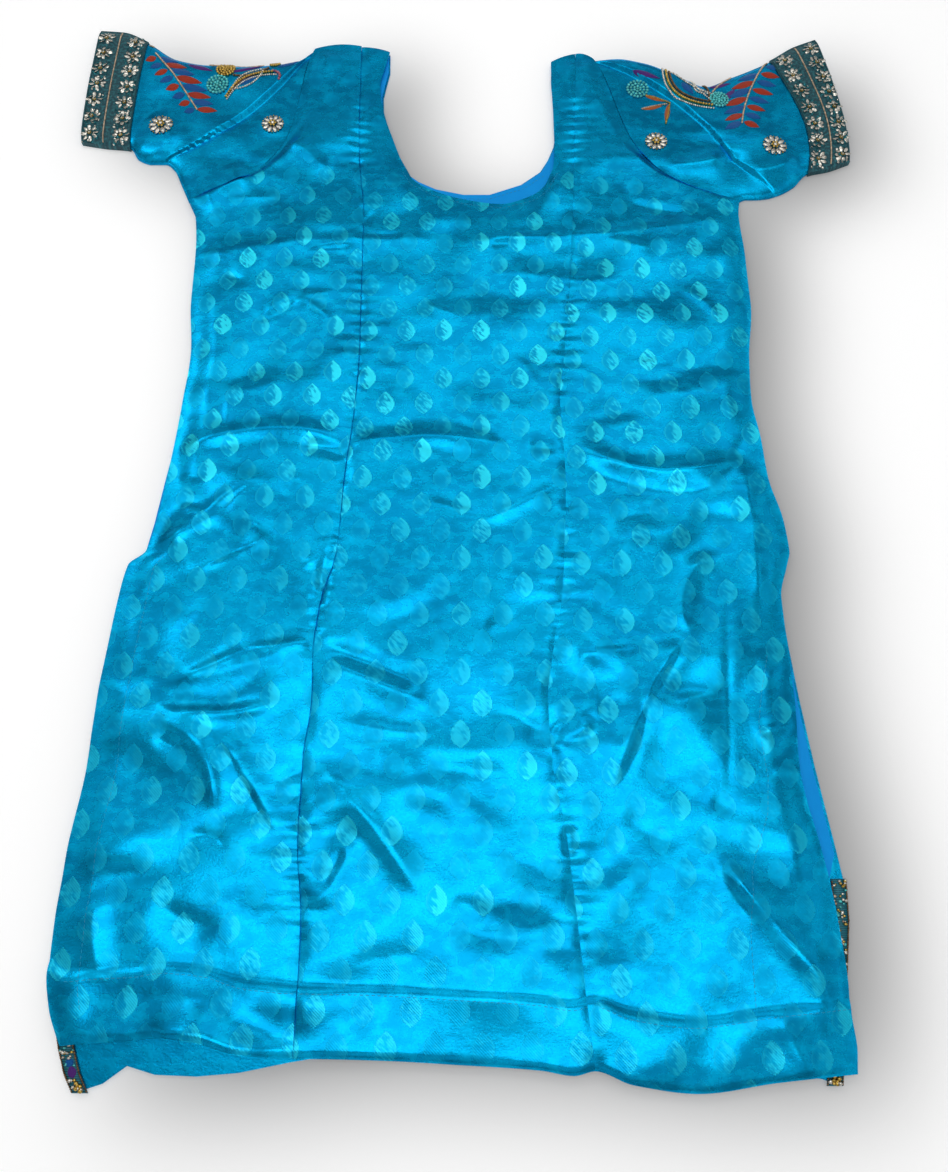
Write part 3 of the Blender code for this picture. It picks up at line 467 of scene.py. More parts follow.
def smooth(x, xs, ys):
    """A curve through the table's points that never overshoots them."""
    x = np.clip(np.asarray(x, float), xs[0], xs[-1])
    step = np.diff(xs)
    slope = np.diff(ys) / step
    before, after = slope[:-1], slope[1:]
    same = before * after > 0
    mean = np.where(same, 2 * before * after / np.where(same, before + after, 1), 0)
    tangent = np.concatenate([[slope[0]], mean, [slope[-1]]])
    i = np.clip(np.searchsorted(xs, x) - 1, 0, len(step) - 1)
    h = step[i]
    u = (x - xs[i]) / h
    return ((1 + 2 * u) * (1 - u) ** 2 * ys[i] + u * (1 - u) ** 2 * h * tangent[i]
            + u * u * (3 - 2 * u) * ys[i + 1] + u * u * (u - 1) * h * tangent[i + 1])


def lookup(rows, key, name, value):
    return smooth(value, column(rows, key), column(rows, name))


def ramp(low, high, value):
    u = np.clip((value - low) / (high - low), 0, 1)
    return u * u * (3 - 2 * u)


def along(row, x, y):
    """Share of the way along a bowed line and the signed distance to its left."""
    dx, dy = row.x2 - row.x1, row.y2 - row.y1
    length = math.hypot(dx, dy)
    s = ((x - row.x1) * dx + (y - row.y1) * dy) / length ** 2
    across = ((y - row.y1) * dx - (x - row.x1) * dy) / length
    inside = np.clip(s, 0, 1)
    return s, across - row.bow * 4 * inside * (1 - inside)


def crest(d, wide):
    """Profile across a crease: a narrow crest with sides that ease out."""
    return np.exp(-(np.sqrt(d * d + CREST ** 2) / wide) ** 1.35)


def ripples(x, y):
    """Slack of pressed and crumpled satin: many short waves in all directions, bent by each other."""
    dice = np.random.default_rng(RIPPLE_SEED)
    z = np.zeros(np.broadcast(x, y).shape)
    bend = 9 * np.sin(x / 31 + y / 47) + 6 * np.sin(y / 19 - x / 53)
    for _ in range(RIPPLES):
        size = dice.uniform(*RIPPLE_SIZES)
        turn = dice.normal(math.pi / 2, 0.7)
        phase = dice.uniform(0, 2 * math.pi)
        path = x * math.cos(turn) + y * math.sin(turn) + bend
        z = z + RIPPLE_SLOPE * size / (2 * math.pi) * np.sin(2 * math.pi * path / size + phase)
    return z * (1 - RIPPLE_CALM * ramp(-40, 120, y))


def relief(x, y):
    """Height that creases and slack add to a resting piece of cloth."""
    z = np.zeros(np.broadcast(x, y).shape)
    for fold in FOLDS:
        s, d = along(fold, x, y)
        fade = ramp(-0.06, 0.24, s) * ramp(-0.06, 0.24, 1 - s)
        z = z + fold.high * fade * crest(d, fold.wide)
    for crease in CREASES:
        s, d = along(crease, x, y)
        fade = ramp(-0.1, 0.3, s) * ramp(-0.1, 0.3, 1 - s)
        z = z + crease.high * CREASE_HIGH * fade * crest(d, crease.wide * CREASE_WIDE)
    for wave in WAVES:
        z = z + wave.high * np.sin(2 * math.pi * (x / wave.along_x + y / wave.along_y) + wave.start)
    return z + ripples(x, y)


def lap_height(lap, side, x, y):
    """Step on a sleeve: full height at the edge, easing away over the embroidered part."""
    s, d = along(lap, x, y)
    over = d * side
    return lap.high * ramp(-0.7, 0.9, over) * (1 - 0.55 * ramp(8, 60, over)) * ramp(-0.3, 0.1, 1.15 - s)


def seam_point(side, f):
    """The princess seam's point at row f: 0 at the hem, 1 at the neck's round, 2 at the shoulder."""
    f = np.asarray(f, float)
    name = "left" if side < 0 else "right"
    foot_x = lookup(SEAMS, "y", name, -430.0)
    foot = lookup(HEMS, "x", "back", foot_x)
    top = SHOULDERS[0 if side < 0 else 1].seam_y
    y = np.where(f <= 1, foot + (NECK_LEVEL - foot) * f, NECK_LEVEL + (top - NECK_LEVEL) * (f - 1))
    return lookup(SEAMS, "y", name, y), y


def sections(side):
    return SLEEVE_LEFT if side < 0 else SLEEVE_RIGHT


def sleeve_point(side, s, t):
    """Plan of a sleeve: s counts sections from the armhole, t runs from the top edge to the lower edge."""
    rows = sections(side)
    index = np.arange(len(rows), dtype=float)
    px, py, qx, qy, bow, _ = (smooth(s, index, column(rows, name)) for name in Section._fields)
    dx, dy = qx - px, qy - py
    length = np.hypot(dx, dy)
    out = bow * np.sin(math.pi * np.clip(t, 0, 1) ** BOW_SKEW)
    return px + dx * t + side * out * dy / length, py + dy * t - side * out * dx / length


def ring_steps(count):
    return (1 - np.cos(np.linspace(0, math.pi, count + 1))) / 2


def side_point(side, g, f):
    """Plan of a side back: g from the princess seam to the outer edge, f from hem to shoulder."""
    g, f = np.broadcast_arrays(np.asarray(g, float), np.asarray(f, float))
    name = "back_left" if side < 0 else "back_right"
    corner = lookup(SIDES, "y", name, -418.0 if side < 0 else -434.0)
    foot = lookup(HEMS, "x", "back", corner)
    split = underarm_row(side)
    outer_y = foot + (UNDERARM_LEVEL - foot) * np.clip(f / split, 0, 1)
    outer_x = lookup(SIDES, "y", name, outer_y)
    t = 1 - np.clip((f - split) / (2 - split), 0, 1)
    arm_x, arm_y = sleeve_point(side, 0.0, t)
    high = f > split
    outer_x, outer_y = np.where(high, arm_x, outer_x), np.where(high, arm_y, outer_y)
    seam_x, seam_y = seam_point(side, f)
    seam_x = seam_x + side * SEAM_GAP / 2
    outer_x = outer_x - np.where(high, side * SEAM_GAP, 0)
    x = seam_x + (outer_x - seam_x) * g
    y = seam_y + (outer_y - seam_y) * g
    straight = seam_point(side, 0.0)[1] + (foot - seam_point(side, 0.0)[1]) * g
    hem = lookup(HEMS, "x", "back", x) - straight
    y = y + hem * np.clip(1 - f / 0.3, 0, 1) ** 2
    y = y + SHOULDERS[0 if side < 0 else 1].crown * 4 * g * (1 - g) * ramp(1.8, 2.0, f)
    return x, y


def underarm_row(side):
    foot = seam_point(side, 0.0)[1]
    return float((UNDERARM_LEVEL - foot) / (NECK_LEVEL - foot))


def centre_point(g, f):
    """Plan of the centre back below the straps: g from the left to the right princess seam."""
    g, f = np.broadcast_arrays(np.asarray(g, float), np.asarray(f, float))
    left_x, left_y = seam_point(-1, f)
    right_x, right_y = seam_point(1, f)
    left_x, right_x = left_x + SEAM_GAP / 2, right_x - SEAM_GAP / 2
    x = left_x + (right_x - left_x) * g
    foot_x = (1 - g) * seam_point(-1, 0.0)[0] + g * seam_point(1, 0.0)[0]
    foot = lookup(HEMS, "x", "back", foot_x)
    top_x = (1 - g) * seam_point(-1, 1.0)[0] + g * seam_point(1, 1.0)[0]
    inside = (top_x >= BACK_ROUND[0].x - 1) & (top_x <= BACK_ROUND[-1].x + 1)
    top = np.where(inside, lookup(BACK_ROUND, "x", "back", top_x), NECK_LEVEL)
    y = foot + (top - foot) * f
    ends = np.where(g <= 0, left_y, np.where(g >= 1, right_y, y))
    return x, ends


def strap_point(side, g, f):
    """Plan of the strap part of the centre back: g from the princess seam to the neck edge."""
    g, f = np.broadcast_arrays(np.asarray(g, float), np.asarray(f, float))
    seam_x, seam_y = seam_point(side, f)
    shoulder = SHOULDERS[0 if side < 0 else 1]
    seam_x = seam_x - side * SEAM_GAP / 2
    neck_y = NECK_LEVEL + (shoulder.neck_y - NECK_LEVEL) * (f - 1)
    neck_x = lookup(STRAPS, "y", "back_left" if side < 0 else "back_right", neck_y)
    bow = STRAP_CROWN * 4 * g * (1 - g) * ramp(1.8, 2.0, f)
    return seam_x + (neck_x - seam_x) * g, seam_y + (neck_y - seam_y) * g + bow


def back_height(x, y, rim):
    """Top of the back where its nearest free edge is rim away."""
    inner = ramp(0, EDGE_ROLL, rim)
    hem = 1 - ramp(HEM_TURN, HEM_TURN + HEM_STEP, y - lookup(HEMS, "x", "back", x))
    arch = 1 - ramp(0, HEM_ARCH_DEEP, y - lookup(HEMS, "x", "back", x))
    arch = HEM_ARCH * arch * np.exp(-((x - HEM_ARCH_X) / HEM_ARCH_WIDE) ** 2)
    low = BACK_LOW + BACK_WALL + HEM_LIFT * hem + arch
    roll = HEM_ROLL * (1 - ramp(0, HEM_ROLL_WIDE, y - lookup(HEMS, "x", "back", x)))
    rise = BODY_LOFT * inner - roll + relief(x, y) * (EDGE_SHARE + (1 - EDGE_SHARE) * inner)
    rise = 0.5 * (rise + np.sqrt(rise * rise + LEAST_RISE))
    return low + rise + (BACK_HEM_WALL - BACK_WALL) * hem


def seam_dip(distance, y):
    """The seam's dip, with the small puckers that its stitches draw into the cloth."""
    tight = 1 + PUCKER_DIP * np.sin(2 * math.pi * y / PUCKER_LONG + 2 * np.sin(y / 41))
    pull = np.sin(2 * math.pi * y / PUCKER_SHORT + 3 * np.sin(y / 27)) * np.sin(y / 63) ** 2
    return SEAM_DIP * tight * np.exp(-(distance / SEAM_DIP_WIDE) ** 2) + PUCKER * pull * np.exp(-distance / 9)


def side_sheet(side, g, f):
    """Points of a side back over the given steps."""
    g, f = np.meshgrid(g, f)
    x, y = side_point(side, g, f)
    seam_x, seam_y = side_point(side, 0, f)
    edge_x, edge_y = side_point(side, 1, f)
    to_edge = np.hypot(x - edge_x, y - edge_y)
    to_top = np.hypot(*(a - b for a, b in zip(side_point(side, g, 2.0), (x, y))))
    rim = np.minimum(to_edge, to_top)
    dip = seam_dip(np.hypot(x - seam_x, y - seam_y), y) * ramp(0, SEAM_FREE, rim)
    return x, y, back_height(x, y, rim) - dip


def centre_sheet(g, f, f_top):
    """Points of the centre back; rows above 1 exist only in the straps."""
    steps = np.asarray(g, float)
    rows = np.concatenate([np.asarray(f, float), np.asarray(f_top, float)])
    grid_g, grid_f = np.meshgrid(steps, rows)
    x, y = centre_point(grid_g, np.minimum(grid_f, 1))
    left_end, right_end = steps[neck_columns(steps)[0]], steps[neck_columns(steps)[1]]
    for side, inner, part in ((-1, left_end, steps <= left_end), (1, 1 - right_end, steps >= right_end)):
        share = steps[part] if side < 0 else 1 - steps[part]
        share_grid, f_grid = np.meshgrid(share / inner, rows)
        sx, sy = strap_point(side, share_grid, np.maximum(f_grid, 1))
        above = f_grid > 1
        x[:, part] = np.where(above, sx, x[:, part])
        y[:, part] = np.where(above, sy, y[:, part])
    ax, ay = seam_point(-1, grid_f)
    bx, by = seam_point(1, grid_f)
    to_seam = np.minimum(np.hypot(x - ax, y - ay), np.hypot(x - bx, y - by))
    neck_x = lookup(BACK_ROUND, "x", "back", x)
    between = (x > BACK_ROUND[0].x) & (x < BACK_ROUND[-1].x) & (grid_f <= 1)
    rim = np.where(between, neck_x - y, 60.0)
    low_left = np.hypot(x - BACK_ROUND[0].x, y - NECK_LEVEL)
    low_right = np.hypot(x - BACK_ROUND[-1].x, y - NECK_LEVEL)
    rim = np.where(grid_f <= 1, np.minimum(rim, np.minimum(low_left, low_right)), rim)
    for side, part in ((-1, x < 0), (1, x > 0)):
        shoulder = SHOULDERS[0 if side < 0 else 1]
        edge = lookup(STRAPS, "y", "back_left" if side < 0 else "back_right", y)
        near = np.minimum(np.abs(x - edge), np.abs(shoulder.seam_y - y))
        rim = np.where(part & (grid_f > 1), near, rim)
    dip = seam_dip(to_seam, y) * ramp(0, SEAM_FREE, rim)
    return x, y, back_height(x, y, rim) - dip - SEAM_TUCK * np.exp(-(to_seam / SEAM_TUCK_WIDE) ** 2)


def neck_columns(steps):
    """Columns where the straps' inner edges leave the round."""
    left = int(np.argmin(np.abs(steps - CENTRE_STEPS[NECK_LEFT])))
    right = int(np.argmin(np.abs(steps - CENTRE_STEPS[NECK_RIGHT])))
    return left, right


def ring_profile(side, s, t):
    """Upper and lower height of a sleeve's ring at section s and share t."""
    rows = sections(side)
    index = np.arange(len(rows), dtype=float)
    under = smooth(s, index, column(rows, "under"))
    x, y = sleeve_point(side, s, t)
    lap = LAP_LEFT if side < 0 else LAP_RIGHT
    free = 1 - ramp(BORDER_FROM - 1.2, BORDER_FROM - 0.1, s)
    swell = relief(x, y) * (EDGE_SHARE + (1 - EDGE_SHARE) * free) + lap_height(lap, side, x, y) * free
    full = np.sqrt(np.clip(1 - np.abs(2 * t - 1) ** 9, 0, 1))
    high = under + (SLEEVE_TOP - 0.6 + 0.5 * (swell + 0.6 + np.sqrt((swell + 0.6) ** 2 + 1.0))) * full
    return np.maximum(high, under + LEAST_SLEEVE), under


def sleeve_ring(side, s, count):
    """Closed loop of points round a sleeve at section s: over the top, then back underneath."""
    t = ring_steps(count)
    x, y = sleeve_point(side, s, t)
    high, under = ring_profile(side, s, t)
    under = np.broadcast_to(under, high.shape)
    middle = under[0] + SLEEVE_FOLD
    end = under[-1] + SLEEVE_FOLD
    upper = [(x[k], y[k], high[k]) for k in range(1, count)]
    lower = [(x[k], y[k], under[k]) for k in range(count - 1, 0, -1)]
    return [(x[0], y[0], middle)] + upper + [(x[-1], y[-1], end)] + lower


def pushed_out(ring, distance):
    """The ring's points moved out of it by a distance, in the upright plane across the sleeve."""
    pts = np.array(ring, float)
    chord = pts[len(ring) // 2] - pts[0]
    flat = np.array([chord[0], chord[1], 0])
    flat = flat / np.linalg.norm(flat)
    a = pts @ flat
    z = pts[:, 2]
    out = pts.copy()
    for k in range(len(ring)):
        before, after = k - 1, (k + 1) % len(ring)
        e1 = np.array([a[k] - a[before], z[k] - z[before]])
        e2 = np.array([a[after] - a[k], z[after] - z[k]])
        n1 = np.array([-e1[1], e1[0]]) / np.linalg.norm(e1)
        n2 = np.array([-e2[1], e2[0]]) / np.linalg.norm(e2)
        mid = n1 + n2
        mid = mid / np.linalg.norm(mid)
        move = distance / max(0.45, float(mid @ n1))
        out[k] = pts[k] + flat * mid[0] * move
        out[k, 2] = z[k] + mid[1] * move
    return [tuple(p) for p in out]


def front_outline(inset_sides, inset_neck, inset_arm):
    """The front panel's outline above its hem, counter-clockwise from the lower right."""
    points = []
    for row in SIDES[1:]:
        if row.y > lookup(HEMS, "x", "front", row.front_right) + HEM_TURN + 4:
            points.append((row.front_right - inset_sides * row.lining_inset, row.y))
    points = points[:-1]
    points += arm_edge(1, inset_arm)[::-1]
    points += [(row.x, row.y - inset_arm) for row in FRONT_BENDS if row.side > 0]
    right = SHOULDERS[1]
    points.append((right.neck_x + inset_neck, right.neck_y - inset_arm))
    points += [(row.front_right + inset_neck, row.y) for row in STRAPS[-2:0:-1]]
    points += [(row.x + inset_neck * 0.6, row.back - inset_neck * 0.8) for row in FRONT_ROUND[::-1]]
    points += [(row.front_left - inset_neck, row.y) for row in STRAPS[1:-1]]
    left = SHOULDERS[0]
    points.append((left.neck_x - inset_neck, left.neck_y - inset_arm))
    points += [(row.x, row.y - inset_arm) for row in FRONT_BENDS if row.side < 0]
    points += arm_edge(-1, inset_arm)
    for row in SIDES[-2:0:-1]:
        if row.y > lookup(HEMS, "x", "front", row.front_left) + HEM_TURN + 4:
            points.append((row.front_left + inset_sides * row.lining_inset, row.y))
    return points


def arm_edge(side, inset):
    """The armhole from shoulder to underarm, on the body's side of the seam."""
    t = ring_steps(ROWS_ARMHOLE)
    x, y = sleeve_point(side, 0.0, t)
    lean = np.sin(math.pi * t) * 0.6 + 0.4
    down = np.where(t > 0.75, 0.6, 0.0) - np.where(t < 0.2, 0.8, 0.0)
    return [(x[k] - side * (SEAM_GAP + inset * lean[k]), y[k] - inset * (down[k] if inset else 0))
            for k in range(len(t))]


def front_corner(side):
    return [(row.x, row.y) for row in CORNERS if row.side == side]


def front_edge(side, y):
    """The front's slit edge near the hem, straight between the panel's own corners."""
    name = "front_left" if side < 0 else "front_right"
    rows = [(getattr(row, name), row.y) for row in SIDES if -385 < row.y < -300][::-1] + front_corner(side)
    return float(np.interp(-y, [-p[1] for p in rows], [p[0] for p in rows]))


HEM_ENDS = (-236, 232)


def hem_line(rise):
    """Points along the inner edge of the front's turned hem, from left to right."""
    return [(row.x, row.front + rise) for row in HEMS if HEM_ENDS[0] < row.x < HEM_ENDS[1]]


print("underarm at", round(underarm_row(-1), 3), "of the way from the hem to the neck")


# %% [markdown]
# ## Shader maths
# The materials here are worked out: a sine wave for threads, noise for crushed satin. Linking Math nodes
# one by one takes many lines that hide the idea. A small class wraps a socket instead, so that an
# expression such as noise * 0.5 + 0.2 adds its own nodes. One method, node(), makes any other node.

# %% Shader maths
class Wire:
    """A value in a node tree: arithmetic on it adds Math nodes."""

    def __init__(self, tree, socket):
        self.tree = tree
        self.socket = socket

    def maths(self, operation, *others):
        return self.tree.maths(operation, self, *others)

    def __add__(self, other):
        return self.tree.maths("ADD", self, other)

    def __sub__(self, other):
        return self.tree.maths("SUBTRACT", self, other)

    def __mul__(self, other):
        return self.tree.maths("MULTIPLY", self, other)

    def __truediv__(self, other):
        return self.tree.maths("DIVIDE", self, other)

    def __rsub__(self, other):
        return self.tree.maths("SUBTRACT", other, self)

    __radd__ = __add__
    __rmul__ = __mul__

    def step(self, low, high):
        """Eases from 0 to 1 between low and high; low may be the larger of the two."""
        settings = {"interpolation_type": "SMOOTHSTEP"}
        sockets = {"Value": self, "From Min": low, "From Max": high}
        return Wire(self.tree, self.tree.node("ShaderNodeMapRange", settings, sockets).outputs["Result"])


class Tree:
    """Adds nodes to a tree, for a material, for the room or for repeated parts."""

    def __init__(self, nodes, links):
        self.nodes = nodes
        self.links = links

    def node(self, kind, settings=None, sockets=None):
        """One node: its settings first, then a value or a link for each named socket."""
        node = self.nodes.new(kind)
        for name, value in (settings or {}).items():
            setattr(node, name, value)
        for name, value in (sockets or {}).items():
            value = getattr(value, "socket", value)
            if isinstance(value, bpy.types.NodeSocket):
                self.links.new(value, node.inputs[name])
            else:
                node.inputs[name].default_value = value
        return node

    def maths(self, operation, *values):
        node = self.node("ShaderNodeMath", {"operation": operation}, dict(enumerate(values)))
        return Wire(self, node.outputs[0])

    def noise(self, across, up, size_x, size_y, detail=2.0, seed=0.0):
        """Noise from 0 to 1 whose spots are about size_x by size_y millimetres."""
        place = self.node("ShaderNodeCombineXYZ", {}, {"X": across / size_x, "Y": up / size_y, "Z": seed})
        sockets = {"Vector": place.outputs[0], "Scale": 1.0, "Detail": detail}
        return Wire(self, self.node("ShaderNodeTexNoise", {}, sockets).outputs[0])

    def blend(self, factor, low, high):
        """A colour between two, each three numbers or an earlier blend."""
        low, high = ((*c, 1) if isinstance(c, tuple) else c for c in (low, high))
        sockets = {"Factor": factor, 6: low, 7: high}
        return self.node("ShaderNodeMix", {"data_type": "RGBA"}, sockets).outputs[2]


class Shader(Tree):
    """One material, with its Principled shader and the cloth's own coordinates."""

    def __init__(self, name, rough, metal=0.0, sheen=0.0):
        self.mat = bpy.data.materials.new(name)
        self.mat.use_nodes = True
        super().__init__(self.mat.node_tree.nodes, self.mat.node_tree.links)
        self.bsdf = self.nodes["Principled BSDF"]
        self.bsdf.inputs["Roughness"].default_value = rough
        self.bsdf.inputs["Metallic"].default_value = metal
        self.bsdf.inputs["Sheen Weight"].default_value = sheen

    def cloth_place(self):
        """The cloth's own coordinates in millimetres, from the UV map."""
        uv = self.node("ShaderNodeUVMap", {"uv_map": "cloth"})
        split = self.node("ShaderNodeSeparateXYZ", {}, {0: uv.outputs[0]})
        return Wire(self, split.outputs[0]), Wire(self, split.outputs[1])

    def object_place(self):
        """The part's own coordinates in millimetres, across and up the table."""
        place = self.node("ShaderNodeTexCoord").outputs["Object"]
        split = self.node("ShaderNodeSeparateXYZ", {}, {0: place})
        return Wire(self, split.outputs[0]) / MM, Wire(self, split.outputs[1]) / MM

    def attribute(self, name):
        return Wire(self, self.node("ShaderNodeAttribute", {"attribute_name": name}).outputs["Fac"])

    def colour(self, value):
        if isinstance(value, tuple):
            self.bsdf.inputs["Base Color"].default_value = (*value, 1)
        else:
            self.links.new(value, self.bsdf.inputs["Base Color"])

    def rough(self, value):
        self.links.new(value.socket, self.bsdf.inputs["Roughness"])

    def bump(self, height, distance_mm, strength=1.0):
        sockets = {"Strength": strength, "Distance": distance_mm * MM, "Height": height}
        bump = self.node("ShaderNodeBump", {}, sockets)
        self.links.new(bump.outputs[0], self.bsdf.inputs["Normal"])


# %% [markdown]
# ## Satin
# Turquoise satin with small woven leaf motifs in a half-drop repeat. Real satin shows two tones, because
# its long threads mirror either the lamp or the dark of the room, and the woven motifs turn the threads,
# so that some stand out bright, some only by half and some hardly at all. A nearly metal shader whose
# highlights keep the cloth's blue gives that sheen. Noise makes the crushed patches and the fine grain in
# the base colour. Its dark and middle patches are partly the crushed cloth's own tone and partly painted
# sheen, and its brightest spots are painted highlights. A hash of each motif's row and column, with noise,
# gives each motif a painted highlight over all of it, over half, and hardly at all on some, and a painted
# shade where it is unlit. These fade low on the skirt and near the top. The motifs stop at the yoke.

# %% Satin
MOTIF_COLUMN = 30.4
MOTIF_ROW = 44.0
MOTIF_HALF_WIDE = 7.3
MOTIF_HALF_TALL = 10.4
MOTIF_POINT = 2.1
WEAVE_STEP = 0.9
TWILL = 1.9
# Satin colours: two ground tones that are partly painted sheen, a painted highlight for the crushed patches,
# a painted highlight for the motifs, and a painted shade for a piece that lies under another.
DARK = (0.001, 0.28, 0.56)
MIDDLE = (0.001, 0.39, 0.73)
PAINTED_HIGHLIGHT = (0.002, 0.57, 0.95)
MOTIF_PAINTED_HIGHLIGHT = (0.03, 0.79, 0.99)
SHADED = (0.0, 0.17, 0.34)


def motif_masks(shader, u, v):
    """The inside of the woven motifs, how far each is lit, and its outline."""
    x = (u / WEAVE_STEP).maths("ROUND") * WEAVE_STEP
    y = (v / WEAVE_STEP).maths("ROUND") * WEAVE_STEP
    column = (x / (MOTIF_COLUMN / 2)).maths("ROUND")
    drop = column.maths("MODULO", 2.0).maths("ABSOLUTE") * (MOTIF_ROW / 2)
    row = ((y + drop) / MOTIF_ROW).maths("ROUND")
    local_x = (x - column * (MOTIF_COLUMN / 2)) / MOTIF_HALF_WIDE
    local_y = (y + drop - row * MOTIF_ROW) / MOTIF_HALF_TALL
    wide = (1 - local_y.maths("ABSOLUTE").maths("POWER", MOTIF_POINT)) * (1 - local_y * 0.16)
    out = local_x.maths("ABSOLUTE") - wide
    inside = out.step(0.0, -0.09)
    outline = inside * out.step(-0.3, -0.1)
    chance = ((column * 12.9898 + row * 78.233).maths("SINE") * 43758.5453).maths("FRACT").maths("ABSOLUTE")
    side = ((column * 39.425 + row * 11.135).maths("SINE") * 9631.17).maths("FRACT")
    patchy = shader.noise(u + v, u - v, 3.0, 9.0, 3.0, 5.0)
    # Where a motif gets its painted highlight; the rest of it gets painted shade.
    lit = (local_x * side * 1.9 + chance * 0.9 - 0.35 + (patchy - 0.5) * 4.0).step(-0.1, 0.7)
    return inside, lit, outline, chance


def satin(name, motifs, painted_shade=0.0):
    """One satin: with or without its motifs, and with an even painted shade where a layer lies over it."""
    shader = Shader(name, 0.3, 0.86)
    shader.bsdf.inputs["Specular IOR Level"].default_value = 0.3
    shader.bsdf.inputs["Specular Tint"].default_value = (0.0, 0.6, 0.9, 1)
    u, v = shader.cloth_place()
    broad = shader.noise(u, v, 70, 42, 3.0, 3.0)
    crush_and_highlight = shader.noise(u, v, 11, 8, 4.0, 7.0)
    grain = shader.noise(u, v, 1.9, 1.5, 2.0, 11.0)
    weave = (v * (2 * math.pi / 0.8)).maths("SINE") * 0.5 + 0.5
    # Base colour: dark and middle patches that are partly the crushed cloth's own tone and partly painted
    # sheen, painted highlights where the crush noise is high, and darker fine grain.
    tone_and_sheen_patches = broad + (crush_and_highlight - 0.5) * 0.35
    ground = shader.blend(tone_and_sheen_patches.step(0.36, 0.6), DARK, MIDDLE)
    ground = shader.blend(crush_and_highlight.step(0.4, 0.75) * 0.5, ground, PAINTED_HIGHLIGHT)
    ground = shader.blend(grain.step(0.3, 0.7) * 0.4, ground, DARK)
    height = crush_and_highlight * 0.8 + grain * 0.25 + weave * 0.02
    rough = crush_and_highlight * 0.1 + 0.22
    if motifs:
        inside, lit, outline, chance = motif_masks(shader, u, v)
        # The motifs' painted highlight and painted shade fade low on the skirt and near the top, and stop at
        # the yoke.
        yoke_and_sheen_by_height = v.step(285, 262) * (v.step(-110, 50) * 0.62 + 0.38) * (v.step(250, 170) * 0.45 + 0.55)
        twill = ((u + v) * (2 * math.pi / TWILL)).maths("SINE") * 0.5 + 0.5
        strong = chance * chance
        painted_motif_highlight = inside * (lit * (strong * 1.0 + 0.35) + 0.05) * (twill * 0.5 + 0.6)
        painted_motif_highlight = painted_motif_highlight + outline * (strong * 0.3 + 0.12)
        painted_motif_shade = inside * (1 - lit) * chance.step(0.3, 0.8)
        ground = shader.blend(painted_motif_shade * yoke_and_sheen_by_height * 0.75, ground, DARK)
        ground = shader.blend(painted_motif_highlight * yoke_and_sheen_by_height, ground, MOTIF_PAINTED_HIGHLIGHT)
        rough = rough + inside * 0.03
        height = height + inside * (twill * 0.15 + 0.1)
    # The last blend lays an even painted shade over the whole piece, as strong as the given share.
    shader.colour(shader.blend(painted_shade, ground, SHADED))
    shader.rough(rough)
    shader.bump(height, 0.25)
    return shader.mat


SATIN = satin("satin_woven", True)
SATIN_PLAIN = satin("satin_plain", False)
# The turned hem's satin carries an even painted shade, for the back lies over it.
SATIN_HEM_SHADED = satin("satin_hem", False, 0.5)
print("satin materials: 3")

# %% [markdown]
# ## Lining
# The lining is a plain, hardly shiny cloth with no woven motifs. A picture of cloth could give its
# threads. Two crossed sine waves do so at any size and need no file, and slow noise keeps the azure
# from looking flat.

# %% Other cloths
lining_shader = Shader("lining_cloth", 0.62)
lining_shader.bsdf.inputs["Specular IOR Level"].default_value = 0.15
u, v = lining_shader.cloth_place()
threads = (u * (2 * math.pi / 0.6)).maths("SINE") * (v * (2 * math.pi / 0.6)).maths("SINE")
patch = lining_shader.noise(u, v, 30, 40, 2.0, 1.0)
lining_shader.colour(lining_shader.blend(patch, (0.0, 0.28, 0.80), (0.0, 0.38, 0.95)))
lining_shader.bump(threads * 0.1 + patch, 0.2)
LINING = lining_shader.mat
print("lining material made")

# %% [markdown]
# ## Shell makers
# Satin is a sheet, so each piece of it is a grid of points over its solid's form. A cloth simulation
# could drape it, but would lose the folds that are known. A grid keeps them. Solidify gives the sheet its
# wall, and the rim is marked sharp, so that the top shades evenly right up to a seam.

# %% Shell makers
RIM_ANGLE = math.radians(55)


def steps(length, most=400):
    """Even steps along a length, a few closer ones at both ends."""
    count = min(most, max(8, int(length / GRID)))
    inner = np.linspace(0, 1, count + 1)
    rim = 0.35 / count
    return np.concatenate([[0, rim], inner[1:-1], [1 - rim, 1]])


def grid_mesh(name, x, y, z, keep=None, offset=(0.0, 0.0)):
    """A mesh of quads over a grid, with the plan kept as the cloth's UV map."""
    rows, cols = x.shape
    if keep is None:
        keep = np.ones((rows - 1, cols - 1), bool)
    used = np.zeros((rows, cols), bool)
    used[:-1, :-1] |= keep
    used[1:, :-1] |= keep
    used[:-1, 1:] |= keep
    used[1:, 1:] |= keep
    number = -np.ones((rows, cols), int)
    number[used] = np.arange(used.sum())
    points = np.stack([x - CENTRE_X, y - CENTRE_Y, z], axis=-1)[used] * MM
    quads = np.stack([number[:-1, :-1], number[:-1, 1:], number[1:, 1:], number[1:, :-1]], axis=-1)[keep]
    mesh = bpy.data.meshes.new(name)
    mesh.from_pydata(points.tolist(), [], quads.tolist())
    uv = mesh.uv_layers.new(name="cloth")
    plan = points[:, :2] / MM + np.array(offset)
    uv.data.foreach_set("uv", plan[quads.ravel()].ravel())
    mesh.shade_smooth()
    return mesh


def place(mesh, name, mat, slot, *nodes):
    """Puts a mesh in the scene, riding on the body, and hides the solids that it stands for."""
    mesh.name = name
    piece = bpy.data.objects.new(name, mesh)
    bpy.context.scene.collection.objects.link(piece)
    if mat:
        mesh.materials.append(mat)
    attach(piece, "root")
    if nodes:
        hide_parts(*nodes)
    return piece


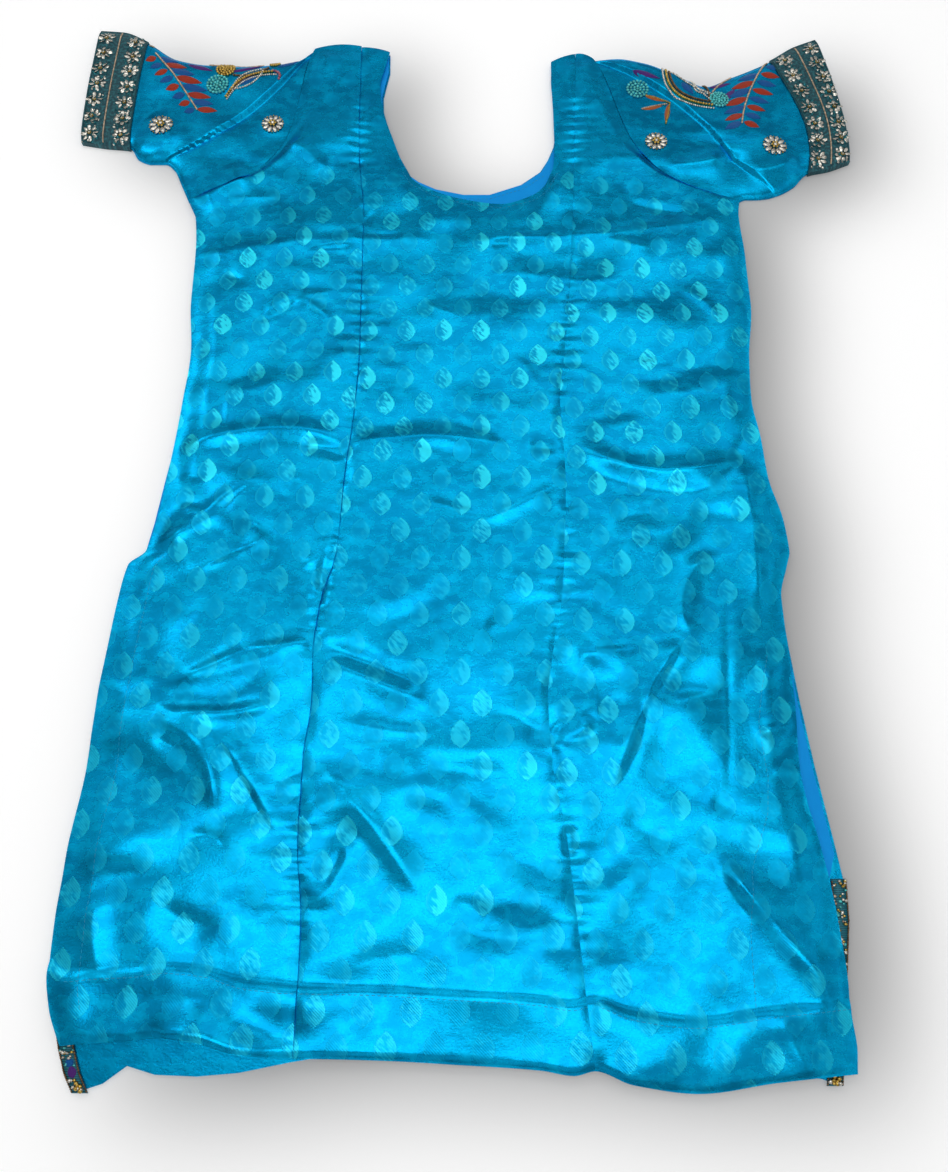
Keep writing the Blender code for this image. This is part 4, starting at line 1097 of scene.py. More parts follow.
def applied(piece):
    """Turns a piece's modifiers into its mesh."""
    graph = bpy.context.evaluated_depsgraph_get()
    mesh = bpy.data.meshes.new_from_object(piece.evaluated_get(graph))
    old = piece.data
    piece.modifiers.clear()
    piece.data = mesh
    bpy.data.meshes.remove(old)
    mesh.name = piece.name


def thicken(piece, thickness):
    """Gives a sheet its wall, with a crisp rim so that its top shades evenly up to the edge."""
    wall = piece.modifiers.new("wall", "SOLIDIFY")
    wall.thickness = thickness * MM
    wall.offset = -1
    wall.use_even_offset = False
    applied(piece)
    piece.data.set_sharp_from_angle(angle=RIM_ANGLE)


# %% [markdown]
# ## Small parts along a path
# Rows of beads, cords and stitches all repeat one small rounded part along a line that lies on the
# cloth. A node tree does that once for all of them: it turns a path's edges to a curve, sets points on
# it at even steps, and puts a small ball on each, drawn out along the path and a little uneven in size.

# %% Parts along a path
GROUP_INPUTS = [
    ("Paths", "NodeSocketGeometry", None),
    ("Pitch", "NodeSocketFloat", 0.004),
    ("Length", "NodeSocketFloat", 0.003),
    ("Width", "NodeSocketFloat", 0.001),
    ("Spread", "NodeSocketFloat", 0.0),
    ("Seed", "NodeSocketInt", 1),
    ("Finish", "NodeSocketMaterial", None),
]
BALL_SIDES = 6
BALL_RINGS = 4


def path_tree():
    """The node tree that sets small balls along paths."""
    group = bpy.data.node_groups.new("parts_along_path", "GeometryNodeTree")
    for name, kind, value in GROUP_INPUTS:
        socket = group.interface.new_socket(name, in_out="INPUT", socket_type=kind)
        if value is not None:
            socket.default_value = value
    group.interface.new_socket("Geometry", in_out="OUTPUT", socket_type="NodeSocketGeometry")
    tree = Tree(group.nodes, group.links)
    given = tree.node("NodeGroupInput").outputs
    curve = tree.node("GeometryNodeMeshToCurve", {}, {"Mesh": given["Paths"]})
    sockets = {"Curve": curve.outputs[0], "Length": given["Pitch"]}
    even = tree.node("GeometryNodeResampleCurve", {"mode": "LENGTH"}, sockets)
    sockets = {"Segments": BALL_SIDES, "Rings": BALL_RINGS, "Radius": 0.5}
    ball = tree.node("GeometryNodeMeshUVSphere", {}, sockets)
    along = tree.node("GeometryNodeInputTangent").outputs[0]
    turn = tree.node("FunctionNodeAlignRotationToVector", {"axis": "X"}, {"Vector": along})
    sockets = {"X": given["Length"], "Y": given["Width"], "Z": given["Width"]}
    size = tree.node("ShaderNodeCombineXYZ", {}, sockets)
    low = Wire(tree, given["Spread"]) * -1 + 1
    high = Wire(tree, given["Spread"]) + 1
    sockets = {2: low, 3: high, "Seed": given["Seed"]}
    chance = tree.node("FunctionNodeRandomValue", {"data_type": "FLOAT"}, sockets)
    sockets = {0: size.outputs[0], "Scale": chance.outputs[1]}
    uneven = tree.node("ShaderNodeVectorMath", {"operation": "SCALE"}, sockets)
    sockets = {"Points": even.outputs[0], "Instance": ball.outputs["Mesh"], "Rotation": turn.outputs[0],
               "Scale": uneven.outputs[0]}
    copies = tree.node("GeometryNodeInstanceOnPoints", {}, sockets)
    real = tree.node("GeometryNodeRealizeInstances", {}, {"Geometry": copies.outputs[0]})
    round_faces = tree.node("GeometryNodeSetShadeSmooth", {}, {"Geometry": real.outputs[0]})
    sockets = {"Geometry": round_faces.outputs[0], "Material": given["Finish"]}
    painted = tree.node("GeometryNodeSetMaterial", {}, sockets)
    tree.node("NodeGroupOutput", {}, {"Geometry": painted.outputs[0]})
    return group


PATH_TREE = path_tree()
print("inputs of the node tree:", len(GROUP_INPUTS))


def along_paths(name, paths, mat, slot, pitch, size, spread=0.0, seed=1):
    """Small balls along paths of table points; pitch and size (length, width) in millimetres."""
    points, edges = [], []
    for path in paths:
        edges += [(k, k + 1) for k in range(len(points), len(points) + len(path) - 1)]
        points += [((x - CENTRE_X) * MM, (y - CENTRE_Y) * MM, z * MM) for x, y, z in path]
    mesh = bpy.data.meshes.new(name)
    mesh.from_pydata(points, edges, [])
    piece = bpy.data.objects.new(name, mesh)
    bpy.context.scene.collection.objects.link(piece)
    modifier = piece.modifiers.new("parts", "NODES")
    modifier.node_group = PATH_TREE
    values = {"Pitch": pitch * MM, "Length": size[0] * MM, "Width": size[1] * MM, "Spread": spread,
              "Seed": seed, "Finish": mat}
    for item in PATH_TREE.interface.items_tree:
        if item.name in values:
            modifier[item.identifier] = values[item.name]
    applied(piece)
    mesh = piece.data
    bpy.data.objects.remove(piece)
    return place(mesh, name, None, slot)


# %% [markdown]
# ## Back panels
# Three panels make the back, joined by two princess seams that shape it to the body. One plane could
# stand for all three, but its seams would only be painted lines. Here each panel is a fine grid of its
# own. The side panels reach just over the seam's gap, and both puckers where the stitches draw it in.

# %% Back panels
ARMHOLE_LENGTH = 172.0
SIDE_WIDTH = 160.0
CENTRE_WIDTH = 190.0
MOTIF_SHIFT = (3.0, 5.0)
body_rows = steps(BACK_LENGTH) * underarm_row(-1)
arm_rows = underarm_row(-1) + (2 - underarm_row(-1)) * steps(ARMHOLE_LENGTH)[1:]
for side, word in ((-1, "left"), (1, "right")):
    rows = np.concatenate([body_rows, arm_rows])
    across = np.concatenate([[-SEAM_CLOSE], steps(SIDE_WIDTH)[1:]])
    x, y, top = side_sheet(side, across, rows)
    mesh = grid_mesh("back", x, y, top, offset=(side * MOTIF_SHIFT[0], side * MOTIF_SHIFT[1]))
    piece = place(mesh, "back_side_" + word + "_satin", SATIN, "satin", "back_side_" + word)
    thicken(piece, CLOTH)

strap_ends = [CENTRE_STEPS[NECK_LEFT], CENTRE_STEPS[NECK_RIGHT]]
columns = np.unique(np.concatenate([steps(CENTRE_WIDTH), strap_ends]))
neck_rows = np.array([f for f in arm_rows if f < 0.997] + [1.0])
strap_rows = np.array([f for f in arm_rows if f > 1.003])
x, y, top = centre_sheet(columns, np.concatenate([body_rows, neck_rows]), strap_rows)
keep = np.ones((x.shape[0] - 1, x.shape[1] - 1), bool)
first, last = neck_columns(columns)
keep[len(body_rows) + len(neck_rows) - 1:, first:last] = False
mesh = grid_mesh("back", x, y, top, keep)
back_centre = place(mesh, "back_centre_satin", SATIN, "satin", "back_centre")
thicken(back_centre, CLOTH)
print("back panels: 3")

# %% [markdown]
# ## Sleeves
# A short sleeve is cut flat, sewn into a tube and lies flattened. A cylinder could be bent and squashed,
# but rings of points from the table of sections keep its outline, its two folded edges and the step of
# its lap as they are. Neighbouring rings are joined with quads.

# %% Sleeves
SLEEVE_CLOTH = 0.9
AROUND = 120
STATIONS = 15


def sleeve_rings(side, first, last, distance):
    """Closed rings of points round a sleeve between two sections, moved out by a distance."""
    stops = np.linspace(first, last, int((last - first) * STATIONS) + 1)
    rings = []
    for s in stops:
        ring = sleeve_ring(side, s, AROUND)
        if distance:
            ring = pushed_out(ring, distance)
        rings.append(ring)
    return np.array(rings)


def tube_mesh(name, rings):
    """A mesh of quads round a stack of rings, open at both ends."""
    stations, around, _ = rings.shape
    points = (rings - np.array([CENTRE_X, CENTRE_Y, 0])) * MM
    index = np.arange(stations * around).reshape(stations, around)
    after = np.roll(index, -1, axis=1)
    quads = np.stack([index[:-1], after[:-1], after[1:], index[1:]], axis=-1).reshape(-1, 4)
    mesh = bpy.data.meshes.new(name)
    mesh.from_pydata(points.reshape(-1, 3).tolist(), [], quads.tolist())
    uv = mesh.uv_layers.new(name="cloth")
    plan = points.reshape(-1, 3)[:, :2] / MM
    uv.data.foreach_set("uv", plan[quads.ravel()].ravel())
    work = bmesh.new()
    work.from_mesh(mesh)
    bmesh.ops.recalc_face_normals(work, faces=work.faces)
    work.to_mesh(mesh)
    work.free()
    mesh.shade_smooth()
    return mesh


def close_ends(mesh):
    """Fills the two open ends of a tube."""
    work = bmesh.new()
    work.from_mesh(mesh)
    bmesh.ops.holes_fill(work, edges=[edge for edge in work.edges if edge.is_boundary])
    bmesh.ops.recalc_face_normals(work, faces=work.faces)
    work.to_mesh(mesh)
    work.free()


sleeves = {}
for side, word in ((-1, "left"), (1, "right")):
    mesh = tube_mesh("sleeve", sleeve_rings(side, 0, 8, 0.0))
    piece = place(mesh, "sleeve_" + word + "_satin", SATIN_PLAIN, "satin", "sleeve_" + word)
    thicken(piece, SLEEVE_CLOTH)
    sleeves[side] = piece
print("sleeves: 2, faces each about", len(piece.data.polygons))

# %% [markdown]
# ## Things sewn on
# Beads, sequins and threads lie on cloth that is nowhere flat. A Shrinkwrap modifier could press each
# one down. A ray cast straight down gives the height and the slope at any spot, so that hundreds of
# small parts are set in one loop and joined to one mesh for each finish.

# %% Ground and small-part makers
class Ground:
    """The upper side of a piece: height and normal at a point of the plan, in millimetres."""

    def __init__(self, piece):
        mesh = piece.data
        verts = [v.co / MM for v in mesh.vertices]
        self.tree = BVHTree.FromPolygons(verts, [tuple(p.vertices) for p in mesh.polygons])

    def at(self, x, y):
        start = Vector((x - CENTRE_X, y - CENTRE_Y, 60))
        spot, normal, _, _ = self.tree.ray_cast(start, Vector((0, 0, -1)))
        if spot is None:
            return None, None
        return spot.z, normal if normal.z > 0 else -normal


def draped(ground, path, lift=0.0, step=1.6):
    """A path of plan points as points on the cloth, at close steps."""
    path = np.array(path, float)
    far = np.concatenate([[0], np.cumsum(np.hypot(*np.diff(path, axis=0).T))])
    spots = []
    for d in np.arange(0, far[-1], step):
        x, y = float(np.interp(d, far, path[:, 0])), float(np.interp(d, far, path[:, 1]))
        z, _ = ground.at(x, y)
        if z is not None:
            spots.append((x, y, z + lift))
    return np.array(spots)


def merged(name, verts, faces):
    """One mesh from lists of point arrays and face arrays, all in table millimetres."""
    start, all_faces = 0, []
    for points, polys in zip(verts, faces):
        all_faces += [tuple(int(i) + start for i in poly) for poly in polys]
        start += len(points)
    points = (np.concatenate(verts) - np.array([CENTRE_X, CENTRE_Y, 0])) * MM
    mesh = bpy.data.meshes.new(name)
    mesh.from_pydata(points.tolist(), [], all_faces)
    mesh.shade_smooth()
    return mesh


def template(maker, **sizes):
    """Points and faces of a small solid made by a bmesh tool."""
    work = bmesh.new()
    maker(work, **sizes)
    points = np.array([v.co for v in work.verts])
    faces = [[v.index for v in f.verts] for f in work.faces]
    work.free()
    return points, faces


BEAD = template(bmesh.ops.create_icosphere, subdivisions=2, radius=1.0)
SMALL_BEAD = template(bmesh.ops.create_icosphere, subdivisions=1, radius=1.0)
DISC = template(bmesh.ops.create_cone, cap_ends=True, segments=10, radius1=1.0, radius2=0.8, depth=0.25)


def turned(normal, turn):
    """Axes of a small part that stands on a surface, turned about its normal."""
    up = np.array(normal) / np.linalg.norm(normal)
    side = np.cross(up, [0.0, 1.0, 0.0])
    side /= np.linalg.norm(side)
    fore = np.cross(up, side)
    a = side * math.cos(turn) + fore * math.sin(turn)
    return np.stack([a, np.cross(up, a), up])


class Heap:
    """Many copies of small templates, joined into one mesh at the end."""

    def __init__(self):
        self.verts = []
        self.faces = []

    def add(self, shape, centre, size, axes=None):
        points = shape[0] * np.array(size)
        if axes is not None:
            points = points @ axes
        self.verts.append(points + np.array(centre))
        self.faces.append(shape[1])

    def mesh(self, name):
        return merged(name, self.verts, self.faces)


def bowed(x1, y1, x2, y2, bow, s):
    """Point at share s of a bowed line."""
    dx, dy = x2 - x1, y2 - y1
    length = math.hypot(dx, dy)
    out = bow * 4 * s * (1 - s)
    return x1 + dx * s - dy / length * out, y1 + dy * s + dx / length * out


grounds = {side: Ground(piece) for side, piece in sleeves.items()}
print("sleeves that can be sewn on:", len(grounds))

# %% [markdown]
# ## Trim materials
# Plated and glass beads, embroidery thread and a teal net ribbon. With one even colour they would look
# like plastic. Noise changes the tone from bead to bead and wears the plating in spots, and thread has
# fine lines across its leaf. Two functions serve every finish, so that each new one is a single line.

# %% Trim materials
def bead_finish(name, colour, rough, metal=0.0):
    """Beads differ a little from each other in tone, and their plating is worn in spots."""
    shader = Shader(name, rough, metal)
    u, v = shader.object_place()
    tone = shader.noise(u, v, 2.5, 2.5, 1.0, 3.0)
    worn = shader.noise(u, v, 0.6, 0.6, 2.0, 9.0)
    dark = tuple(0.6 * c for c in colour)
    light = tuple(min(1.0, 1.25 * c) for c in colour)
    shader.colour(shader.blend(tone.step(0.3, 0.7), dark, light))
    shader.rough(worn.step(0.4, 0.8) * 0.25 + rough)
    shader.bump(worn, 0.06)
    return shader.mat


def thread(name, low, high):
    """Satin-stitch thread: fine lines across the leaf."""
    shader = Shader(name, 0.45, 0.0, 0.05)
    shader.bsdf.inputs["Specular IOR Level"].default_value = 0.25
    u, v = shader.cloth_place()
    line = (u * (2 * math.pi / 0.7) + v * 1.2).maths("SINE") * 0.5 + 0.5
    shader.colour(shader.blend(line * 0.8, low, high))
    shader.bump(line, 0.25)
    return shader.mat


RED = thread("thread_red", (0.34, 0.02, 0.006), (0.62, 0.06, 0.015))
BLUE = thread("thread_blue", (0.0, 0.07, 0.30), (0.0, 0.17, 0.52))
PURPLE = thread("thread_purple", (0.06, 0.012, 0.16), (0.14, 0.03, 0.30))
ORANGE = thread("thread_orange", (0.40, 0.09, 0.02), (0.60, 0.18, 0.05))
GOLD = bead_finish("bead_gold", (0.62, 0.42, 0.10), 0.25, 1.0)
SILVER = bead_finish("bead_silver", (0.75, 0.72, 0.64), 0.2, 1.0)
CHAMPAGNE = bead_finish("cord_champagne", (0.66, 0.50, 0.36), 0.35, 0.85)
BRONZE = bead_finish("bead_bronze", (0.20, 0.12, 0.06), 0.3, 0.8)
CYAN_BEAD = bead_finish("bead_cyan", (0.10, 0.62, 0.62), 0.15, 0.3)
PINK = bead_finish("bead_pink", (0.45, 0.15, 0.20), 0.3, 0.3)
TEAL_SEQUIN = bead_finish("sequin_teal", (0.02, 0.17, 0.20), 0.22, 0.8)
BEADS = {"champagne": CHAMPAGNE, "gold": GOLD, "silver": SILVER,
         "bronze": BRONZE, "cyan": CYAN_BEAD, "pink": PINK}

band_shader = Shader("ribbon_teal", 0.5, 0.2)
u, v = band_shader.cloth_place()
mesh_lines = (u * (2 * math.pi / 1.3)).maths("SINE") * (v * (2 * math.pi / 1.3)).maths("SINE") * 0.5 + 0.5
spots = band_shader.noise(u, v, 2.4, 2.4, 2.0, 5.0)
tone = band_shader.blend(spots.step(0.4, 0.7), (0.004, 0.055, 0.075), (0.02, 0.17, 0.20))
band_shader.colour(tone)
band_shader.bump(mesh_lines * 0.5 + spots, 0.4)
BAND = band_shader.mat
print("trim materials made")

# %% [markdown]
# ## Sleeve borders
# A dark teal ribbon goes round each cuff, with a champagne piping along its middle and two rows of
# sequin flowers. An array of equal flowers would look stamped, so each one draws the tilt and the reach
# of its petals from a fixed seed, which also gives the same flowers on every run.

# %% Sleeve borders
CUFF = 8
RIBBON_RISE = 0.8
RIBBON_THICK = 0.7
PIPING_SECTION = 7.05
FLOWER_LANES = (6.42, 7.62)
EDGE_INSET = 0.05
FLOWER_PITCH = 17.0
FLOWER_RADIUS = 7.8
GLITTER = 26
PETALS = 8
PETAL_TILT = 0.9
BOSS_BEADS = 6
BOSS_RADIUS = 1.3
GLITTER_WIDE = 14
GLITTER_SILVER = 0.3
BORDER_SPAN = np.linspace(0.012, 0.988, 60)
borders = {}
for side, word in ((-1, "left"), (1, "right")):
    mesh = tube_mesh("border", sleeve_rings(side, BORDER_FROM, CUFF, SEAM_GAP + RIBBON_RISE))
    piece = place(mesh, "sleeve_border_" + word + "_ribbon", BAND, "sleeve_border", "sleeve_border_" + word)
    thicken(piece, RIBBON_THICK)
    borders[side] = piece
border_grounds = {side: Ground(piece) for side, piece in borders.items()}


def flower(heaps, ground, x, y, radius, seed):
    """A sequin flower: tilted petals round a small boss of beads."""
    dice = np.random.default_rng(seed)
    z, _ = ground.at(x, y)
    if z is None:
        return
    for k in range(PETALS):
        turn = 2 * math.pi * (k + 0.3 * dice.random()) / PETALS
        reach = radius * (0.62 + 0.12 * dice.random())
        px, py = x + reach * math.cos(turn), y + reach * math.sin(turn)
        pz, pn = ground.at(px, py)
        if pz is None:
            continue
        lean = np.array(pn) + np.array([*(dice.random(2) - 0.5) * PETAL_TILT, 0])
        heaps["silver"].add(DISC, (px, py, pz + 0.5), (radius * 0.36, radius * 0.22, 1.0), turned(lean, turn))
    for k in range(BOSS_BEADS):
        turn = 2 * math.pi * k / BOSS_BEADS
        spot = (x + BOSS_RADIUS * math.cos(turn), y + BOSS_RADIUS * math.sin(turn), z + 0.8)
        heaps["gold"].add(SMALL_BEAD, spot, (0.6,) * 3)
    heaps["silver"].add(SMALL_BEAD, (x, y, z + 1.2), (0.9, 0.9, 0.8))


for side, word in ((-1, "left"), (1, "right")):
    ground = border_grounds[side]
    heaps = {"silver": Heap(), "gold": Heap(), "teal": Heap()}
    for lane, s in enumerate(FLOWER_LANES):
        top = np.array(sleeve_point(side, s, 0.0))
        low = np.array(sleeve_point(side, s, 1.0))
        length = float(np.hypot(*(low - top)))
        count = int(length / FLOWER_PITCH)
        for k in range(count):
            t = (k + 0.5 + 0.08 * lane) / count
            x, y = sleeve_point(side, s, t)
            flower(heaps, ground, float(x), float(y), FLOWER_RADIUS, abs(100 * lane + k + 7 * side))
            dice = np.random.default_rng(500 + 40 * lane + k)
            for _ in range(GLITTER):
                fx = float(x) + (dice.random() - 0.5) * GLITTER_WIDE
                fy = float(y) + (dice.random() - 0.5) * FLOWER_PITCH
                fz, fn = ground.at(fx, fy)
                if fz is not None:
                    lean = np.array(fn) + np.array([*(dice.random(2) - 0.5) * PETAL_TILT, 0])
                    heap = heaps["silver" if dice.random() < GLITTER_SILVER else "teal"]
                    heap.add(DISC, (fx, fy, fz + 0.3), (1.2, 1.2, 1.0), turned(lean, 0))
    paths = [[sleeve_point(side, s, t) for t in BORDER_SPAN]
             for s in (PIPING_SECTION, BORDER_FROM + EDGE_INSET, CUFF - EDGE_INSET)]
    lines = [draped(ground, path, 0.15) for path in paths]
    along_paths("border_piping_" + word, lines[:1], CHAMPAGNE, "sleeve_border", 1.1, (1.5, 1.6), 0.1)
    along_paths("border_edge_cord_" + word, lines[1:], BAND, "sleeve_border", 1.0, (1.5, 1.2), 0.1)
    for name, mat in (("silver", SILVER), ("gold", GOLD), ("teal", TEAL_SEQUIN)):
        mesh = heaps[name].mesh(name)
        place(mesh, "border_sequins_" + name + "_" + word, mat, "sleeve_border")
print("sleeve borders: 2")

# %% [markdown]
# ## Rosettes
# A small flower of metal thread wound round a stone. It could be sculpted as one form, but a maker winds
# each petal by itself, so here each is a small dome on a circle, turned to point outward, with a bead
# between it and the next.

# %% Rosettes
ROSETTE_PETALS = 10
RING_STONES = 6
RING_RADIUS = 2.6
DOME = template(bmesh.ops.create_uvsphere, u_segments=10, v_segments=6, radius=1.0)
for row in ROSETTES:
    ground = grounds[row.side]
    petals, stones = Heap(), Heap()
    z, _ = ground.at(row.x, row.y)
    for k in range(ROSETTE_PETALS):
        turn = 2 * math.pi * k / ROSETTE_PETALS
        reach = row.radius * 0.68
        px, py = row.x + reach * math.cos(turn), row.y + reach * math.sin(turn)
        pz, pn = ground.at(px, py)
        axes = turned(pn, turn)
        petals.add(DOME, (px, py, (pz or z) + 0.9), (row.radius * 0.34, row.radius * 0.19, 1.0), axes)
        out, past = reach * 1.35, turn + 0.31
        spot = (row.x + out * math.cos(past), row.y + out * math.sin(past), (pz or z) + 0.7)
        stones.add(SMALL_BEAD, spot, (0.8,) * 3)
    for k in range(RING_STONES):
        turn = 2 * math.pi * k / RING_STONES
        spot = (row.x + RING_RADIUS * math.cos(turn), row.y + RING_RADIUS * math.sin(turn), z + 1.7)
        stones.add(BEAD, spot, (1.2, 1.2, 1.0))
    petals.add(BEAD, (row.x, row.y, z + 1.9), (1.8, 1.8, 1.3))
    place(petals.mesh("petals"), row.name + "_petals", SILVER, "rosette", row.name)
    place(stones.mesh("stones"), row.name + "_stones", GOLD, "rosette")
print("rosettes:", len(ROSETTES))

# %% [markdown]
# ## Embroidered leaves
# Satin stitch fills a leaf with threads side by side, and swells in the middle. Hair could lay every
# thread, at a great cost in faces. A low ridge whose material has the thread lines looks the same from
# here. Two tables give the sprays, whose leaves stand in pairs, and the single leaves.

# %% Leaves
Spray = namedtuple("Spray", "side x1 y1 x2 y2 bow pairs long_left long_right turn_left turn_right")
SPRAYS = [
    Spray(-1, -284, 409, -240, 343, 1.5, 8, 13, 25, 205, -14),
    Spray(1, 277, 399, 247, 325, -4, 8, 24, 19, 205, -22),
]
Leaf = namedtuple("Leaf", "side x1 y1 x2 y2 wide thread")
LEAVES = [
    Leaf(-1, -253, 397, -229, 387, 6.0, "purple"),
    Leaf(-1, -212, 385, -184, 394, 5.0, "purple"),
    Leaf(-1, -170, 390, -151, 400, 6.0, "blue"),
    Leaf(-1, -204, 369, -186, 379, 6.5, "blue"),
    Leaf(1, 153, 386, 177, 376, 6.0, "purple"),
    Leaf(1, 222, 369, 242, 375, 5.5, "purple"),
    Leaf(1, 234, 353, 245, 367, 6.0, "purple"),
    Leaf(1, 152, 395, 167, 402, 5.0, "red"),
    Leaf(1, 140, 403, 156, 406, 4.0, "blue"),
    Leaf(1, 161, 389, 181, 397, 6.0, "blue"),
    Leaf(1, 197, 372, 206, 358, 7.5, "blue"),
    Leaf(1, 163, 361, 182, 353, 4.5, "orange"),
    Leaf(1, 160, 345, 178, 348, 4.5, "orange"),
    Leaf(1, 184, 350, 180, 328, 4.5, "orange"),
]
LEAF_WIDE = 7.6
LEAF_GRID = (11, 5)
THREADS = {"red": RED, "blue": BLUE, "purple": PURPLE, "orange": ORANGE}


def leaf(store, ground, x1, y1, x2, y2, wide):
    """Adds one leaf: a pointed outline with a low dome, from its root to its tip."""
    length = math.hypot(x2 - x1, y2 - y1)
    ax, ay = (x2 - x1) / length, (y2 - y1) / length
    rows, cols = LEAF_GRID
    points, plan = [], []
    for i in range(rows):
        s = i / (rows - 1)
        half = wide / 2 * math.sin(math.pi * min(1, s * 1.02) ** 0.85) ** 0.8 if 0 < i < rows - 1 else 0.15
        for j in range(cols):
            t = 2 * j / (cols - 1) - 1
            x = x1 + ax * length * s - ay * half * t
            y = y1 + ay * length * s + ax * half * t
            z, _ = ground.at(x, y)
            if z is None:
                return
            points.append((x, y, z + 0.12 + 0.75 * (1 - t * t) * min(1, half / 1.2)))
            plan.append((s * length, half * t))
    faces = []
    for i in range(rows - 1):
        for j in range(cols - 1):
            a = i * cols + j
            faces.append((a, a + cols, a + cols + 1, a + 1))
    store["verts"].append(np.array(points))
    store["faces"].append(faces)
    store["plan"] += plan


def leaf_piece(store, name, mat):
    mesh = merged(name, store["verts"], store["faces"])
    uv = mesh.uv_layers.new(name="cloth")
    plan = np.array(store["plan"])
    index = np.zeros(len(mesh.loops), int)
    mesh.loops.foreach_get("vertex_index", index)
    uv.data.foreach_set("uv", plan[index].ravel())
    work = bmesh.new()
    work.from_mesh(mesh)
    for face in work.faces:
        if face.normal.z < 0:
            face.normal_flip()
    work.to_mesh(mesh)
    work.free()
    return place(mesh, name, mat, "satin")


stores = {}
for row in SPRAYS:
    for k in range(row.pairs):
        s = 0.04 + 0.96 * k / (row.pairs - 1)
        x, y = bowed(row.x1, row.y1, row.x2, row.y2, row.bow, s)
        swell = 0.75 + 0.25 * math.sin(math.pi * min(1, s * 1.1))
        for hand, long, turn in ((-1, row.long_left, row.turn_left), (1, row.long_right, row.turn_right)):
            angle = math.radians(turn - hand * 8 * (s - 0.5) * (1 if row.side > 0 else -1))
            word = ("red", "blue")[(k + (hand > 0)) % 2]
            reach = long * swell
            x0, y0 = x + 1.2 * math.cos(angle), y + 1.2 * math.sin(angle)
            key = (row.side, word)
            store = stores.setdefault(key, {"verts": [], "faces": [], "plan": []})
            tip = (x0 + reach * math.cos(angle), y0 + reach * math.sin(angle))
            leaf(store, grounds[row.side], x0, y0, *tip, LEAF_WIDE)
for row in LEAVES:
    store = stores.setdefault((row.side, row.thread), {"verts": [], "faces": [], "plan": []})
    leaf(store, grounds[row.side], row.x1, row.y1, row.x2, row.y2, row.wide)
for (side, word), store in stores.items():
    leaf_piece(store, "leaves_" + word + ("_left" if side < 0 else "_right"), THREADS[word])
print("leaf meshes:", len(stores))

# %% [markdown]
# ## Bead strands
# Strings of small beads edge the leaves and coil into round medallions. They are single beads sewn down
# one by one, each of its own size, so a loop sets them: a strand is a row of a table with its two ends,
# its bow and its pitch. Every bead goes to the heap of its finish, which becomes one mesh.

# %% Bead strands
Strand = namedtuple("Strand", "side x1 y1 x2 y2 bow bead size pitch")
STRANDS = [
    Strand(-1, -284, 411, -239, 342, 1.5, "champagne", 0.8, 1.3),
    Strand(-1, -291, 422, -230, 396, 6, "champagne", 0.8, 1.4),
    Strand(-1, -230, 397, -184, 397, 0.5, "champagne", 0.8, 1.6),
    Strand(-1, -214, 357, -174, 383, 8, "gold", 1.15, 2.2),
    Strand(-1, -213, 354, -170, 379, 8.5, "silver", 0.85, 1.8),
    Strand(-1, -211, 359, -177, 384, 5.5, "bronze", 0.9, 1.8),
    Strand(-1, -209, 364, -182, 387, 6.5, "silver", 0.95, 2.1),
    Strand(-1, -209, 364, -182, 387, -7.5, "silver", 0.95, 2.1),
    Strand(-1, -209, 381, -178, 389, -5, "bronze", 0.9, 1.8),
    Strand(-1, -173, 384, -167, 374, 3, "pink", 1.1, 1.9),
    Strand(1, 277, 401, 246, 323, -4, "champagne", 0.8, 1.3),
    Strand(1, 224, 362, 278, 401, 7, "champagne", 0.8, 1.5),
    Strand(1, 184, 392, 222, 346, -16, "gold", 1.15, 2.2),
    Strand(1, 181, 393, 223, 342, -18, "silver", 0.9, 1.9),
    Strand(1, 187, 391, 221, 350, -14, "bronze", 0.95, 1.8),
    Strand(1, 189, 388, 223, 359, -4, "silver", 0.95, 2.0),
    Strand(1, 191, 385, 220, 352, 12, "bronze", 0.9, 1.9),
    Strand(1, 205, 378, 221, 352, -2, "silver", 0.9, 2.0),
    Strand(1, 208, 372, 219, 359, -6, "silver", 0.9, 1.9),
    Strand(1, 163, 361, 184, 352, 0.5, "gold", 0.8, 1.7),
    Strand(1, 160, 345, 182, 350, 0.5, "champagne", 0.8, 1.8),
    Strand(1, 185, 351, 180, 328, 0.5, "gold", 0.8, 1.7),
]
STRAND_FULL = 1.25
CLUSTER_FULL = 1.4
Cluster = namedtuple("Cluster", "side x y rings first size bead")
CLUSTERS = [
    Cluster(-1, -223, 371, 3, 3.0, 1.2, "cyan"),
    Cluster(-1, -217, 389, 3, 2.6, 1.1, "gold"),
    Cluster(-1, -173, 397, 2, 2.0, 1.0, "gold"),
    Cluster(1, 157, 368, 3, 3.0, 1.1, "cyan"),
    Cluster(1, 229, 353, 3, 2.6, 1.1, "cyan"),
]
heaps = {}
for row in STRANDS:
    length = math.hypot(row.x2 - row.x1, row.y2 - row.y1) * (1 + 2.7 * (row.bow / 60) ** 2)
    count = int(length / row.pitch)
    for k in range(count + 1):
        x, y = bowed(row.x1, row.y1, row.x2, row.y2, row.bow, k / count)
        z, _ = grounds[row.side].at(x, y)
        if z is not None:
            heap = heaps.setdefault((row.side, row.bead), Heap())
            heap.add(SMALL_BEAD, (x, y, z + row.size * 0.6), (row.size * STRAND_FULL,) * 3)
